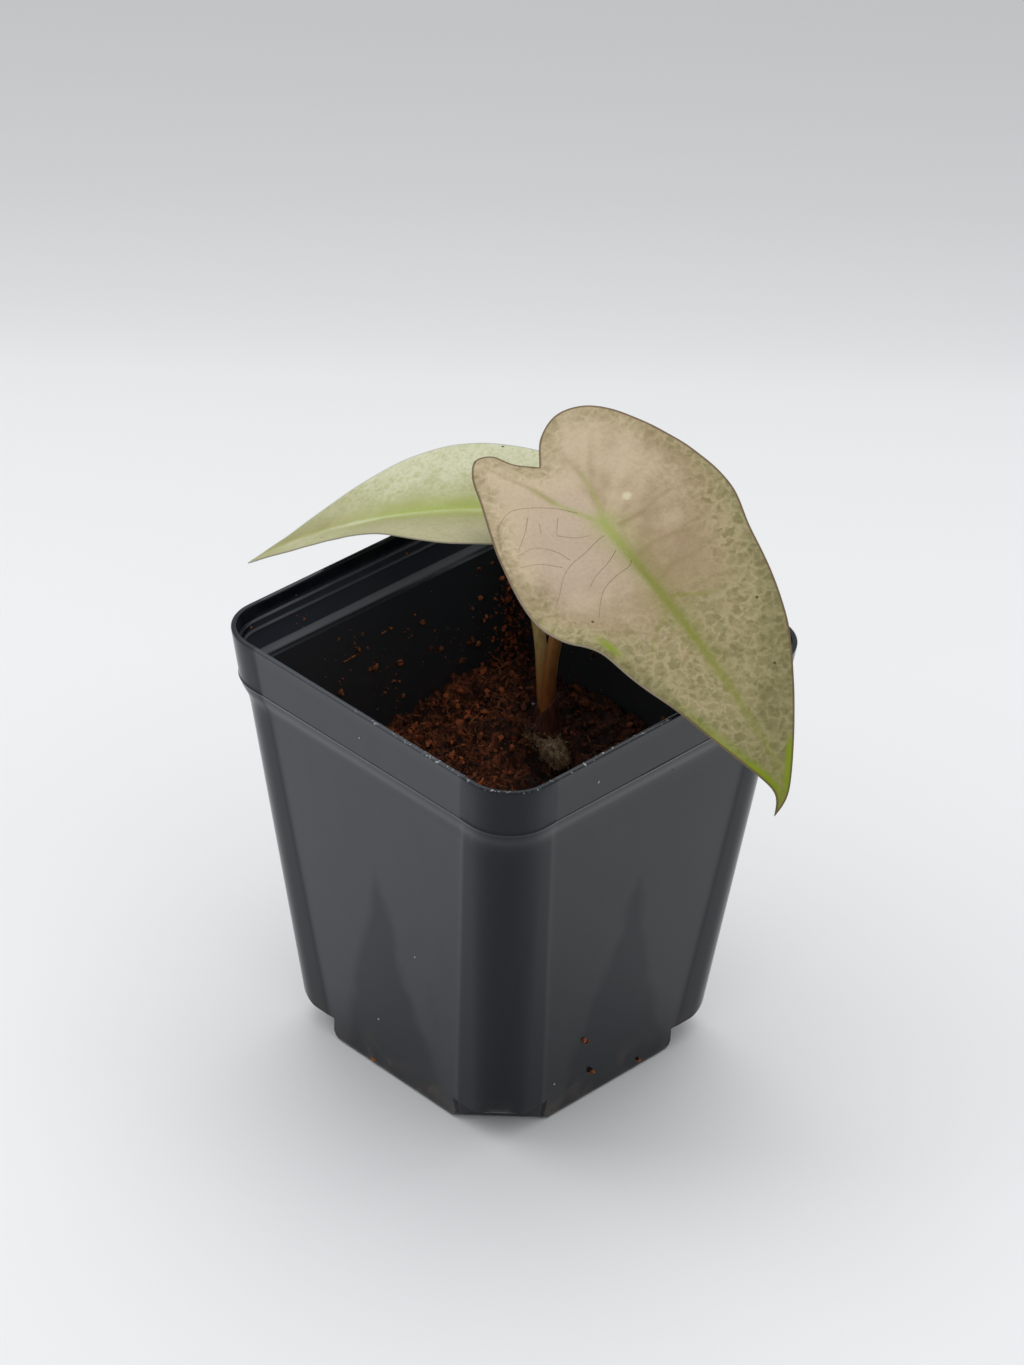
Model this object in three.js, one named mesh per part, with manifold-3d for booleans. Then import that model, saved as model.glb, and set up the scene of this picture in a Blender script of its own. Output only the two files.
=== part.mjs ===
// A young alocasia with two leaves, growing in coir in a small square nursery pot.
// Millimetres, +Z up. The origin is the middle of the pot's base, on the floor, and X and Y
// run along the pot's sides. The front leaf hangs out over the +X wall, the back leaf over -X.
import * as THREE from 'three';
import { mergeVertices } from 'three/addons/utils/BufferGeometryUtils.js';
import Module from 'manifold-3d';

const wasm = await Module();
wasm.setup();

// Gap between pieces that touch
const GAP = 0.3;

// Pot, outside sizes
const POT_HEIGHT = 78.5;
const POT_TOP_WIDTH = 70;
const POT_BASE_WIDTH = 50.2;
const BODY_TOP_WIDTH = 65.7;
const BAND_BOTTOM_WIDTH = 67.9;
const BODY_TOP_Z = 66.4;
const BAND_BOTTOM_Z = 69.4;
const TOP_CORNER_RADIUS = 8.3;
const BASE_CORNER_RADIUS = 6.2;
const WALL = 0.9;
const RIM_ROUNDING = 0.25;
// Rounded shoulder between body and band: [height above the body, width outside it]
const SHOULDER = [[1.1, 0.62], [2.1, 0.95]];
// Ledge inside the shoulder
const LEDGE_BOTTOM_Z = 68.4;
const LEDGE_TOP_Z = 70.1;

// Fine ribs round the inside of the rim band
const RIB_DEPTH = 0.3;
const RIB_HALF_HEIGHT = 0.35;
const RIB_LEVELS = [75.6, 73.9];

// Raised corners of the base: a flat is cut across each corner, up to this height, and the lower
// edge of the corner is cut off at 45 degrees from this distance to the middle of the pot
const CORNER_LIFT = 4.6;
const FOOT_HALF_LENGTH = 15.1;
const CORNER_CUT_FROM = 32.4;
const DRAIN_SLOT = { width: 2.2, length: 7, fromCentre: 30.2 };

// Coir: mean level, mound round the stalks and the hollow in front of them
const COIR_LEVEL = 46.5;
const MOUND = { x: -6, y: 15, height: 3.6, radius: 12 };
const HOLLOW = { x: 0.5, y: 10.5, height: -4.5, radius: 5 };
const BACK_RISE = 0.045;
const LUMP_HEIGHT = 0.55;
// The coir's top edge lies this far below its mean level, so that the lumps stay inside the wall
const COIR_EDGE_DROP = 3;

// Corm, as an egg that leans to the front, and the roots that grow from it
const CORM = { top: [-8.2, 14.4, 49.0], bottom: [-0.6, 13.4, 45.3], radius: 2.3 };
const ROOT = {
  count: 7,
  turnJitter: 0.4,
  radius: 0.75,
  tipRadius: 0.45,
  reach: 9.5,
  tipZ: 14,
  tipSpread: 6,
  startBelowCorm: 1,
};

// Petioles: points from the foot to the blade, and radii at both ends
const PETIOLE_FRONT = {
  path: [[-5.8, 14.4, 49.2], [-5.4, 13.8, 57.4], [-4.2, 13.3, 66.4], [-1.2, 13.7, 80], [2.4, 15.3, 91],
    [3.9, 16.0, 95.2]],
  footRadius: 1.2,
  topRadius: 1.15,
};
const PETIOLE_BACK = {
  path: [[-8.0, 15.9, 49.2], [-8.9, 16.0, 55.3], [-10.3, 16.4, 64.5], [-13.6, 17.0, 74], [-17.0, 17.7, 81],
    [-18.7, 17.6, 86.6]],
  footRadius: 1.05,
  topRadius: 1.0,
};

// Sheath wrapped round the foot of both stalks, cut off at a slant through this point
const SHEATH = { thickness: 0.6, footZ: 50, cutThrough: [-4.2, 12.6, 55.5], slant: 56 };

// Blades. Each is laid out in its own flat sheet: s runs along the midrib from where the petiole
// is fixed (0) to the tip, w runs across it, and the notch at the back is at the first point.
// The sheet is then bent: heading, pitch and roll of the midrib and the upward fold of each half
// are smooth curves through [s, degrees] pairs.
const BLADE_THICKNESS = 0.7;
const TIP_LENGTH = 10;
const FAN_LEAD = 6;
const MIDRIB_DEPTH = 0.9;
const MIDRIB_HALF_WIDTH = 1.1;
const MIDRIB_FADE_BEHIND = 3;
const SIDE_VEIN_DEPTH = 0.22;
const SIDE_VEIN_EVERY = 5;
// How far from the midrib the upward fold sets in
const FOLD_ROUNDING = 2;
const BLADE_FRONT = {
  base: [3.7, 15.9, 94.8],
  tipShift: -2.7,
  heading: [[-22, -7], [45, -6.5], [52, -8], [62, -35]],
  pitch: [[-22, -17], [0, -19], [20, -22], [40, -31], [52, -42], [62, -85]],
  roll: [[-22, 15], [62, 11]],
  foldRight: [[-20, 8], [60, 8]],
  foldLeft: [[-20, 5], [2, 4], [11, 2], [21, 9], [32, 6], [50, 4]],
  right: [[-14.5, -2.6], [-19.2, 0.9], [-21.3, 5.4], [-20.2, 9.6], [-16.8, 13.1], [-9.2, 17.0], [-1, 19.6],
    [7, 20.4], [15, 18.4], [23, 16.7], [32, 13.8], [40, 9.6], [47, 5.5], [53, 1.7], [57, -0.5], [59.8, -2.7]],
  left: [[-14.5, -2.6], [-17.2, -5.9], [-20.5, -7.9], [-21.2, -10.6], [-18.9, -12.9], [-12.5, -15.3],
    [-4, -18.4], [4.5, -20.4], [11, -20.8], [16.5, -19.7], [22, -15.8], [28, -14.0], [36, -10.6], [45, -7.1],
    [52, -3.9], [56, -2.2], [59.8, -2.7]],
};
const BLADE_BACK = {
  base: [-18.6, 17.5, 86.2],
  tipShift: 0,
  heading: [[-20, 228], [50, 205]],
  pitch: [[-20, 3], [0, -2.5], [25, -22], [50, -41]],
  roll: [[-20, -2], [50, -2]],
  foldRight: [[-10, 14], [8, 16], [20, 24], [30, 19], [42, 8]],
  foldLeft: [[-20, 8], [50, 8]],
  right: [[-12.5, 0], [-15.4, 2.6], [-17.9, 5.2], [-17.6, 8.6], [-14.4, 11.5], [-9, 13.8], [-3, 15.8],
    [4, 16.6], [12, 16.7], [18, 15.0], [23.5, 12.8], [29, 9.3], [36, 6.0], [43, 2.9], [50, 0]],
  left: [[-12.5, 0], [-15.4, -2.6], [-17.9, -5.2], [-17.4, -8.6], [-14.4, -11.2], [-9, -13.4], [-3.5, -14.8],
    [4, -16.3], [11, -16.6], [17, -15.6], [23, -13.6], [29, -10.5], [35, -6.9], [42, -2.8], [50, 0]],
};

// Fineness
const CORNER_STEPS = 8;
const COIR_CORNER_STEPS = 6;
const COIR_SIDE_STEPS = 9;
const COIR_RINGS = 17;
const FAN_RAYS = 16;
const SIDE_RAYS = 25;
const BLADE_STEPS = 7;
const BLADE_STEP_POWER = 1.25;
const MIDRIB_STEP = 0.25;
const MARGIN_STEPS = 600;
const TUBE_SIDES = 12;
const PETIOLE_STEPS = 20;
const ROOT_SIDES = 8;
const ROOT_STEPS = 8;
// Side of the blocks that cut other pieces
const BLOCK_SIZE = 20;

const DEGREE = Math.PI / 180;

// Helpers for closed meshes and solids

function closedGeometry(points, triangles) {
  const geometry = new THREE.BufferGeometry();
  geometry.setAttribute('position', new THREE.Float32BufferAttribute(points.flat(), 3));
  geometry.setIndex(triangles.flat());
  return geometry;
}

function toSolid(geometry) {
  const bare = geometry.clone();
  bare.deleteAttribute('normal');
  bare.deleteAttribute('uv');
  const merged = mergeVertices(bare, 1e-5);
  return new wasm.Manifold(new wasm.Mesh({
    numProp: 3,
    vertProperties: merged.attributes.position.array,
    triVerts: new Uint32Array(merged.index.array),
  }));
}

function toGeometry(solid) {
  const mesh = solid.getMesh();
  const geometry = new THREE.BufferGeometry();
  geometry.setAttribute('position', new THREE.BufferAttribute(new Float32Array(mesh.vertProperties), 3));
  geometry.setIndex(new THREE.BufferAttribute(new Uint32Array(mesh.triVerts), 1));
  geometry.computeVertexNormals();
  return geometry;
}

function largest(solid) {
  return solid.decompose().reduce((best, one) => (one.volume() > best.volume() ? one : best));
}

// Closes a stack of rings, all with the same number of points, into a solid with two end caps
function loft(rings) {
  const count = rings[0].length;
  const points = rings.flat();
  const triangles = [];
  for (let level = 0; level + 1 < rings.length; level += 1) {
    for (let i = 0; i < count; i += 1) {
      const a = level * count + i;
      const b = level * count + ((i + 1) % count);
      triangles.push([a, b, b + count], [a, b + count, a + count]);
    }
  }
  const last = (rings.length - 1) * count;
  const foot = points.push(middle(rings[0])) - 1;
  const head = points.push(middle(rings[rings.length - 1])) - 1;
  for (let i = 0; i < count; i += 1) {
    const next = (i + 1) % count;
    triangles.push([foot, next, i], [head, last + i, last + next]);
  }
  return closedGeometry(points, triangles);
}

function middle(ring) {
  return [0, 1, 2].map((k) => ring.reduce((sum, point) => sum + point[k], 0) / ring.length);
}

// Square ring with round corners, counter-clockwise, with its straight sides cut into steps
function squareRing(halfWidth, radius, z, cornerSteps = CORNER_STEPS, sideSteps = 1) {
  const flat = halfWidth - radius;
  const ring = [];
  for (let corner = 0; corner < 4; corner += 1) {
    const start = corner * 90 * DEGREE;
    const centre = new THREE.Vector2(flat, flat).rotateAround(new THREE.Vector2(), start);
    for (let i = 0; i <= cornerSteps; i += 1) {
      const angle = start + (90 * DEGREE * i) / cornerSteps;
      ring.push([centre.x + radius * Math.cos(angle), centre.y + radius * Math.sin(angle), z]);
    }
    const from = ring[ring.length - 1];
    const run = new THREE.Vector2(-2 * flat, 0).rotateAround(new THREE.Vector2(), start);
    for (let i = 1; i < sideSteps; i += 1) {
      ring.push([from[0] + (run.x * i) / sideSteps, from[1] + (run.y * i) / sideSteps, z]);
    }
  }
  return ring;
}

// Smooth curve through [x, y] pairs, held level past both ends
function smooth(pairs) {
  const last = pairs.length - 1;
  const slopes = pairs.map((pair, i) => {
    const before = pairs[Math.max(i - 1, 0)];
    const after = pairs[Math.min(i + 1, last)];
    return (after[1] - before[1]) / (after[0] - before[0]);
  });
  return (x) => {
    const at = Math.min(Math.max(x, pairs[0][0]), pairs[last][0]);
    let i = 0;
    while (i < last - 1 && at >= pairs[i + 1][0]) {
      i += 1;
    }
    const width = pairs[i + 1][0] - pairs[i][0];
    const t = (at - pairs[i][0]) / width;
    return (1 + 2 * t) * (1 - t) ** 2 * pairs[i][1] + t * (1 - t) ** 2 * width * slopes[i]
      + t * t * (3 - 2 * t) * pairs[i + 1][1] + t * t * (t - 1) * width * slopes[i + 1];
  };
}

// Pot

function bodyHalfWidth(z) {
  return (POT_BASE_WIDTH + ((BODY_TOP_WIDTH - POT_BASE_WIDTH) * z) / BODY_TOP_Z) / 2;
}

function bandHalfWidth(z) {
  const share = (z - BAND_BOTTOM_Z) / (POT_HEIGHT - BAND_BOTTOM_Z);
  return (BAND_BOTTOM_WIDTH + (POT_TOP_WIDTH - BAND_BOTTOM_WIDTH) * share) / 2;
}

function cornerRadius(z) {
  return BASE_CORNER_RADIUS + ((TOP_CORNER_RADIUS - BASE_CORNER_RADIUS) * z) / POT_HEIGHT;
}

function wallRing(halfWidth, inset, z, ...steps) {
  return squareRing(halfWidth - inset, cornerRadius(z) - inset, z, ...steps);
}

// Four blocks that cut the corners off the base, grown by the wall around them
function cornerBlocks(grow) {
  const inner = (POT_BASE_WIDTH / 2 + FOOT_HALF_LENGTH) / Math.SQRT2 - grow;
  const top = CORNER_LIFT + grow;
  const cutFrom = CORNER_CUT_FROM - grow * Math.tan(22.5 * DEGREE);
  const outer = inner + BLOCK_SIZE;
  const profile = new THREE.Shape([
    new THREE.Vector2(inner, -BLOCK_SIZE),
    new THREE.Vector2(outer, -BLOCK_SIZE),
    new THREE.Vector2(outer, top + outer - cutFrom),
    new THREE.Vector2(cutFrom, top),
    new THREE.Vector2(inner, top),
  ]);
  const blocks = [];
  for (let corner = 0; corner < 4; corner += 1) {
    const block = new THREE.ExtrudeGeometry(profile, { depth: 2 * BLOCK_SIZE, bevelEnabled: false });
    block.translate(0, 0, -BLOCK_SIZE);
    block.rotateX(90 * DEGREE);
    block.rotateZ((45 + 90 * corner) * DEGREE);
    blocks.push(toSolid(block));
  }
  return blocks;
}

function buildPot() {
  const outside = loft([
    wallRing(bodyHalfWidth(0), 0, 0),
    wallRing(bodyHalfWidth(BODY_TOP_Z), 0, BODY_TOP_Z),
    ...SHOULDER.map(([rise, out]) => wallRing(BODY_TOP_WIDTH / 2 + out, 0, BODY_TOP_Z + rise)),
    wallRing(bandHalfWidth(BAND_BOTTOM_Z), 0, BAND_BOTTOM_Z),
    wallRing(POT_TOP_WIDTH / 2, 0, POT_HEIGHT - RIM_ROUNDING),
    wallRing(POT_TOP_WIDTH / 2, RIM_ROUNDING, POT_HEIGHT),
  ]);
  const inside = [
    wallRing(bodyHalfWidth(WALL), WALL, WALL),
    wallRing(bodyHalfWidth(BODY_TOP_Z), WALL, LEDGE_BOTTOM_Z),
    wallRing(bandHalfWidth(BAND_BOTTOM_Z), WALL, LEDGE_TOP_Z),
  ];
  for (const level of [...RIB_LEVELS].reverse()) {
    inside.push(wallRing(bandHalfWidth(level), WALL, level - RIB_HALF_HEIGHT));
    inside.push(wallRing(bandHalfWidth(level), WALL + RIB_DEPTH, level));
    inside.push(wallRing(bandHalfWidth(level), WALL, level + RIB_HALF_HEIGHT));
  }
  inside.push(wallRing(POT_TOP_WIDTH / 2, WALL, POT_HEIGHT - RIM_ROUNDING));
  inside.push(wallRing(POT_TOP_WIDTH / 2, WALL - RIM_ROUNDING, POT_HEIGHT));
  inside.push(wallRing(POT_TOP_WIDTH / 2, WALL - RIM_ROUNDING, POT_HEIGHT + 1));

  let shell = toSolid(outside);
  for (const block of cornerBlocks(0)) {
    shell = shell.subtract(block);
  }
  let hollow = toSolid(loft(inside));
  for (const block of cornerBlocks(WALL)) {
    hollow = hollow.subtract(block);
  }
  shell = shell.subtract(hollow);
  for (let corner = 0; corner < 4; corner += 1) {
    const slot = new THREE.BoxGeometry(DRAIN_SLOT.width, DRAIN_SLOT.length, 3 * WALL);
    slot.translate(DRAIN_SLOT.fromCentre, 0, CORNER_LIFT + WALL / 2);
    slot.rotateZ((45 + 90 * corner) * DEGREE);
    shell = shell.subtract(toSolid(slot));
  }
  return toGeometry(shell);
}

// Coir

function bump(x, y, spot) {
  return spot.height * Math.exp(-((x - spot.x) ** 2 + (y - spot.y) ** 2) / spot.radius ** 2);
}

// Coarse and fine lumps, from sine waves that bend each other
function lumps(x, y) {
  const coarse = Math.sin(0.55 * x + 1.3 * Math.sin(0.31 * y))
    * Math.sin(0.62 * y + 1.1 * Math.sin(0.27 * x));
  const fine = Math.sin(1.35 * x + 2 * Math.sin(0.7 * y))
    * Math.sin(1.5 * y - 1.7 * Math.sin(0.8 * x));
  return LUMP_HEIGHT * (coarse + fine);
}

function coirHeight(x, y) {
  return COIR_LEVEL + BACK_RISE * y + bump(x, y, MOUND) + bump(x, y, HOLLOW) + lumps(x, y);
}

function buildCoir(pocket) {
  const inset = WALL + GAP;
  const steps = [COIR_CORNER_STEPS, COIR_SIDE_STEPS];
  const edgeZ = COIR_LEVEL - COIR_EDGE_DROP;
  const edge = wallRing(bodyHalfWidth(edgeZ), inset, edgeZ, ...steps);
  const rings = [wallRing(bodyHalfWidth(inset), inset, inset, ...steps), edge];
  for (let k = COIR_RINGS; k >= 1; k -= 1) {
    const share = k / COIR_RINGS;
    rings.push(edge.map(([x, y]) => [x * share, y * share, coirHeight(x * share, y * share)]));
  }
  let coir = toSolid(loft(rings));
  for (const block of cornerBlocks(inset)) {
    coir = coir.subtract(block);
  }
  return toGeometry(largest(coir.subtract(pocket)));
}

// Tapered tubes for stalks and roots

function taperedTube(path, footRadius, headRadius, steps, sides = TUBE_SIDES) {
  const curve = new THREE.CatmullRomCurve3(path.map((point) => new THREE.Vector3(...point)));
  const frames = curve.computeFrenetFrames(steps, false);
  const rings = [];
  for (let level = 0; level <= steps; level += 1) {
    const centre = curve.getPointAt(level / steps);
    const radius = footRadius + ((headRadius - footRadius) * level) / steps;
    const ring = [];
    for (let i = 0; i < sides; i += 1) {
      const angle = (2 * Math.PI * i) / sides;
      const point = centre.clone()
        .addScaledVector(frames.normals[level], radius * Math.cos(angle))
        .addScaledVector(frames.binormals[level], radius * Math.sin(angle));
      ring.push(point.toArray());
    }
    rings.push(ring);
  }
  return loft(rings);
}

// Corm and roots, grown by a clearance for the pocket that they fill in the coir

function buildCorm(grow) {
  const top = new THREE.Vector3(...CORM.top);
  const bottom = new THREE.Vector3(...CORM.bottom);
  const length = top.distanceTo(bottom);
  const egg = new THREE.SphereGeometry(1, 16, 12);
  egg.scale(CORM.radius + grow, CORM.radius + grow, length / 2 + grow);
  egg.applyQuaternion(new THREE.Quaternion().setFromUnitVectors(
    new THREE.Vector3(0, 0, 1),
    top.clone().sub(bottom).normalize(),
  ));
  const centre = top.clone().add(bottom).multiplyScalar(0.5);
  egg.translate(...centre.toArray());
  let solid = toSolid(egg);
  for (let i = 0; i < ROOT.count; i += 1) {
    const angle = (360 / ROOT.count) * i * DEGREE + ROOT.turnJitter * Math.sin(3 * i);
    const drop = ROOT.tipZ + ROOT.tipSpread * Math.sin(2 * i) - centre.z;
    const path = [0, 0.3, 0.7, 1].map((share) => [
      centre.x + Math.cos(angle) * ROOT.reach * Math.sqrt(share),
      centre.y + Math.sin(angle) * ROOT.reach * Math.sqrt(share),
      centre.z - ROOT.startBelowCorm + drop * share,
    ]);
    const root = taperedTube(path, ROOT.radius + grow, ROOT.tipRadius + grow, ROOT_STEPS, ROOT_SIDES);
    solid = solid.add(toSolid(root));
  }
  return solid;
}

// Petioles and sheath

function petioleSolid(petiole, grow) {
  const radii = [petiole.footRadius + grow, petiole.topRadius + grow];
  return toSolid(taperedTube(petiole.path, ...radii, PETIOLE_STEPS));
}

// Both stalks, thickened by the sheath, between its foot and the slanted cut
function sheathSolid(grow) {
  const around = GAP + SHEATH.thickness + grow;
  const below = new THREE.BoxGeometry(2 * BLOCK_SIZE, 2 * BLOCK_SIZE, BLOCK_SIZE);
  below.translate(0, 0, SHEATH.footZ - grow - BLOCK_SIZE / 2);
  const above = new THREE.BoxGeometry(3 * BLOCK_SIZE, 3 * BLOCK_SIZE, 3 * BLOCK_SIZE);
  above.translate(0, 0, (3 * BLOCK_SIZE) / 2 + grow);
  above.rotateY(-SHEATH.slant * DEGREE);
  above.rotateZ(45 * DEGREE);
  above.translate(...SHEATH.cutThrough);
  return petioleSolid(PETIOLE_FRONT, around)
    .add(petioleSolid(PETIOLE_BACK, around))
    .subtract(toSolid(below))
    .subtract(toSolid(above));
}

function buildSheath() {
  let solid = sheathSolid(0).subtract(buildCorm(GAP));
  for (const petiole of [PETIOLE_FRONT, PETIOLE_BACK]) {
    solid = solid.subtract(petioleSolid(petiole, GAP));
  }
  return toGeometry(largest(solid));
}

// Blades

// Bends the flat sheet: returns a function that gives the place of any point [s, w] of it
function bentSheet(blade) {
  const heading = smooth(blade.heading);
  const pitch = smooth(blade.pitch);
  const roll = smooth(blade.roll);
  const foldRight = smooth(blade.foldRight);
  const foldLeft = smooth(blade.foldLeft);

  const along = (s) => {
    const turn = heading(s) * DEGREE;
    const rise = pitch(s) * DEGREE;
    return new THREE.Vector3(Math.cos(turn), Math.sin(turn), 0)
      .multiplyScalar(Math.cos(rise))
      .add(new THREE.Vector3(0, 0, Math.sin(rise)));
  };
  const midrib = (s) => {
    const count = Math.max(1, Math.ceil(Math.abs(s) / MIDRIB_STEP));
    const place = new THREE.Vector3(...blade.base);
    for (let i = 0; i < count; i += 1) {
      place.addScaledVector(along((s * (i + 0.5)) / count), s / count);
    }
    return place;
  };
  const cache = new Map();
  const frame = (s) => {
    if (!cache.has(s)) {
      const forward = along(s);
      const level = new THREE.Vector3(-Math.sin(heading(s) * DEGREE), Math.cos(heading(s) * DEGREE), 0);
      const across = level.applyAxisAngle(forward, roll(s) * DEGREE);
      const up = new THREE.Vector3().crossVectors(forward, across);
      cache.set(s, { place: midrib(s), across, up });
    }
    return cache.get(s);
  };
  return (s, w) => {
    const { place, across, up } = frame(s);
    const fold = (w > 0 ? foldRight(s) : foldLeft(s)) * DEGREE;
    const lift = (Math.tan(fold) * w * w) / (Math.abs(w) + FOLD_ROUNDING);
    return place.clone().addScaledVector(across, w).addScaledVector(up, lift);
  };
}

function upwardNormal(sheet, s, w) {
  const reach = 0.2;
  const forward = sheet(s + reach, w).sub(sheet(s - reach, w));
  const across = sheet(s, w + reach).sub(sheet(s, w - reach));
  return forward.cross(across).normalize();
}

function tipOf(blade) {
  return blade.right[blade.right.length - 1][0];
}

// The midrib swings a little to one side over the drip tip
function midribShift(s, blade) {
  const share = Math.max(0, (s - tipOf(blade)) / TIP_LENGTH + 1);
  return blade.tipShift * share ** 2;
}

// How far the underside stands below the sheet: thin web, midrib ridge and low side veins
function undersideDepth(s, w, onSideVein, blade) {
  const alongRib = s < 0 ? Math.exp(-((s / MIDRIB_FADE_BEHIND) ** 2)) : 1 - (s / tipOf(blade)) ** 2;
  const aside = (w - midribShift(s, blade)) / MIDRIB_HALF_WIDTH;
  const rib = MIDRIB_DEPTH * alongRib * Math.exp(-(aside ** 2));
  return BLADE_THICKNESS / 2 + rib + (onSideVein ? SIDE_VEIN_DEPTH : 0);
}

// Rays from the midrib to one margin. Behind the petiole they fan out from it, further on they
// start from points that move along the midrib and lean towards the tip.
function halfRays(outline, blade) {
  const curve = new THREE.CatmullRomCurve3(outline.map(([s, w]) => new THREE.Vector3(s, w, 0)));
  const margin = curve.getSpacedPoints(MARGIN_STEPS);
  const tip = tipOf(blade);
  let split = MARGIN_STEPS;
  while (margin[split - 1].x > FAN_LEAD) {
    split -= 1;
  }
  const rays = [];
  for (let i = 0; i < FAN_RAYS; i += 1) {
    const end = margin[Math.round((i * split) / FAN_RAYS)];
    rays.push({ start: [0, 0], end: [end.x, end.y] });
  }
  for (let i = 0; i <= SIDE_RAYS; i += 1) {
    const start = (tip * i) / SIDE_RAYS;
    const reach = FAN_LEAD + (start * (tip - FAN_LEAD)) / tip;
    let at = split;
    while (at < MARGIN_STEPS && margin[at].x < reach) {
      at += 1;
    }
    rays.push({ start: [start, midribShift(start, blade)], end: [margin[at].x, margin[at].y] });
  }
  return rays;
}

function buildBlade(blade, grow = 0) {
  const sheet = bentSheet(blade);
  const points = [];
  const triangles = [];
  const upper = new Map();
  const lower = new Map();

  const place = (s, w, onSideVein) => {
    const key = `${s.toFixed(4)},${w.toFixed(4)}`;
    if (!upper.has(key)) {
      const normal = upwardNormal(sheet, s, w);
      const top = sheet(s, w).addScaledVector(normal, BLADE_THICKNESS / 2 + grow);
      const depth = undersideDepth(s, w, onSideVein, blade) + grow;
      const bottom = sheet(s, w).addScaledVector(normal, -depth);
      upper.set(key, points.push(top.toArray()) - 1);
      lower.set(key, points.push(bottom.toArray()) - 1);
    }
    return key;
  };
  const face = (a, b, c) => {
    if (a === b || b === c || c === a) {
      return;
    }
    triangles.push([upper.get(a), upper.get(b), upper.get(c)], [lower.get(a), lower.get(c), lower.get(b)]);
  };

  for (const [side, outline] of [[1, blade.right], [-1, blade.left]]) {
    const grid = halfRays(outline, blade).map(({ start, end }, ray, rays) => {
      const row = [];
      for (let j = 0; j <= BLADE_STEPS; j += 1) {
        const share = 1 - (1 - j / BLADE_STEPS) ** BLADE_STEP_POWER;
        const s = start[0] + (end[0] - start[0]) * share;
        const w = start[1] + (end[1] - start[1]) * share;
        const inside = j > 0 && j < BLADE_STEPS && ray > 0 && ray < rays.length - 1;
        row.push(place(s, w, inside && ray % SIDE_VEIN_EVERY === 2));
      }
      return row;
    });
    for (let ray = 0; ray + 1 < grid.length; ray += 1) {
      for (let j = 0; j < BLADE_STEPS; j += 1) {
        const [a, b] = [grid[ray][j], grid[ray][j + 1]];
        const [d, c] = [grid[ray + 1][j], grid[ray + 1][j + 1]];
        if (side > 0) {
          face(a, c, b);
          face(a, d, c);
        } else {
          face(a, b, c);
          face(a, c, d);
        }
      }
      const [p, q] = [grid[ray][BLADE_STEPS], grid[ray + 1][BLADE_STEPS]];
      const [first, second] = side > 0 ? [p, q] : [q, p];
      triangles.push([upper.get(first), upper.get(second), lower.get(second)]);
      triangles.push([upper.get(first), lower.get(second), lower.get(first)]);
    }
  }
  return closedGeometry(points, triangles);
}

function buildPetiole(petiole, blade) {
  const solid = petioleSolid(petiole, 0).subtract(toSolid(buildBlade(blade, GAP))).subtract(buildCorm(GAP));
  return toGeometry(largest(solid));
}

// The scene

function piece(name, geometry, color, roughness) {
  const mesh = new THREE.Mesh(geometry, new THREE.MeshStandardMaterial({ color, roughness, metalness: 0 }));
  mesh.name = name;
  return mesh;
}

const pocket = buildCorm(GAP)
  .add(sheathSolid(GAP))
  .add(petioleSolid(PETIOLE_FRONT, GAP))
  .add(petioleSolid(PETIOLE_BACK, GAP));
const object = new THREE.Group();
object.add(piece('pot', buildPot(), 0x3c4147, 0.35));
object.add(piece('coir', buildCoir(pocket), 0x5a2c1a, 0.95));
object.add(piece('corm_and_roots', toGeometry(buildCorm(0)), 0xa89a80, 0.7));
object.add(piece('sheath', buildSheath(), 0x3a1d18, 0.7));
object.add(piece('petiole_front', buildPetiole(PETIOLE_FRONT, BLADE_FRONT), 0x7a5a36, 0.45));
object.add(piece('petiole_back', buildPetiole(PETIOLE_BACK, BLADE_BACK), 0x9a9560, 0.45));
object.add(piece('blade_front', buildBlade(BLADE_FRONT), 0xb5a68c, 0.5));
object.add(piece('blade_back', buildBlade(BLADE_BACK), 0xb4c08c, 0.5));

export default object;
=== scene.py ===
"""Looks of a young alocasia with two leaves in a small square nursery pot.

Lengths are in millimetres, as in the part's own source, and turn into metres where a mesh is made. Colours
are red, green and blue from 0 to 255, or four linear numbers.
"""
from functools import partialmethod
from itertools import combinations
import math

import bpy
import numpy as np
from mathutils import Matrix, Vector, noise


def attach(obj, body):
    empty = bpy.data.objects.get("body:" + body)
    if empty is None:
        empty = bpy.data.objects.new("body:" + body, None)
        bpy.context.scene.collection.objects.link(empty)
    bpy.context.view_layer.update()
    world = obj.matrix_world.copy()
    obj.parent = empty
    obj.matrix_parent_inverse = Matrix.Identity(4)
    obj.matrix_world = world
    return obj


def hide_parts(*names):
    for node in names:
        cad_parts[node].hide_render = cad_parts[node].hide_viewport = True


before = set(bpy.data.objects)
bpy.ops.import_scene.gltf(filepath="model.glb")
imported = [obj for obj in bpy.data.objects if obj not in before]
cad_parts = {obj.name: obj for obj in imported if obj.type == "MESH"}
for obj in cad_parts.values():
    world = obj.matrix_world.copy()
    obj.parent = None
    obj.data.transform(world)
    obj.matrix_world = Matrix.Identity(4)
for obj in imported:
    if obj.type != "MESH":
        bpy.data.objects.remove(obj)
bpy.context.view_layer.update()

MM = 0.001

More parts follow.
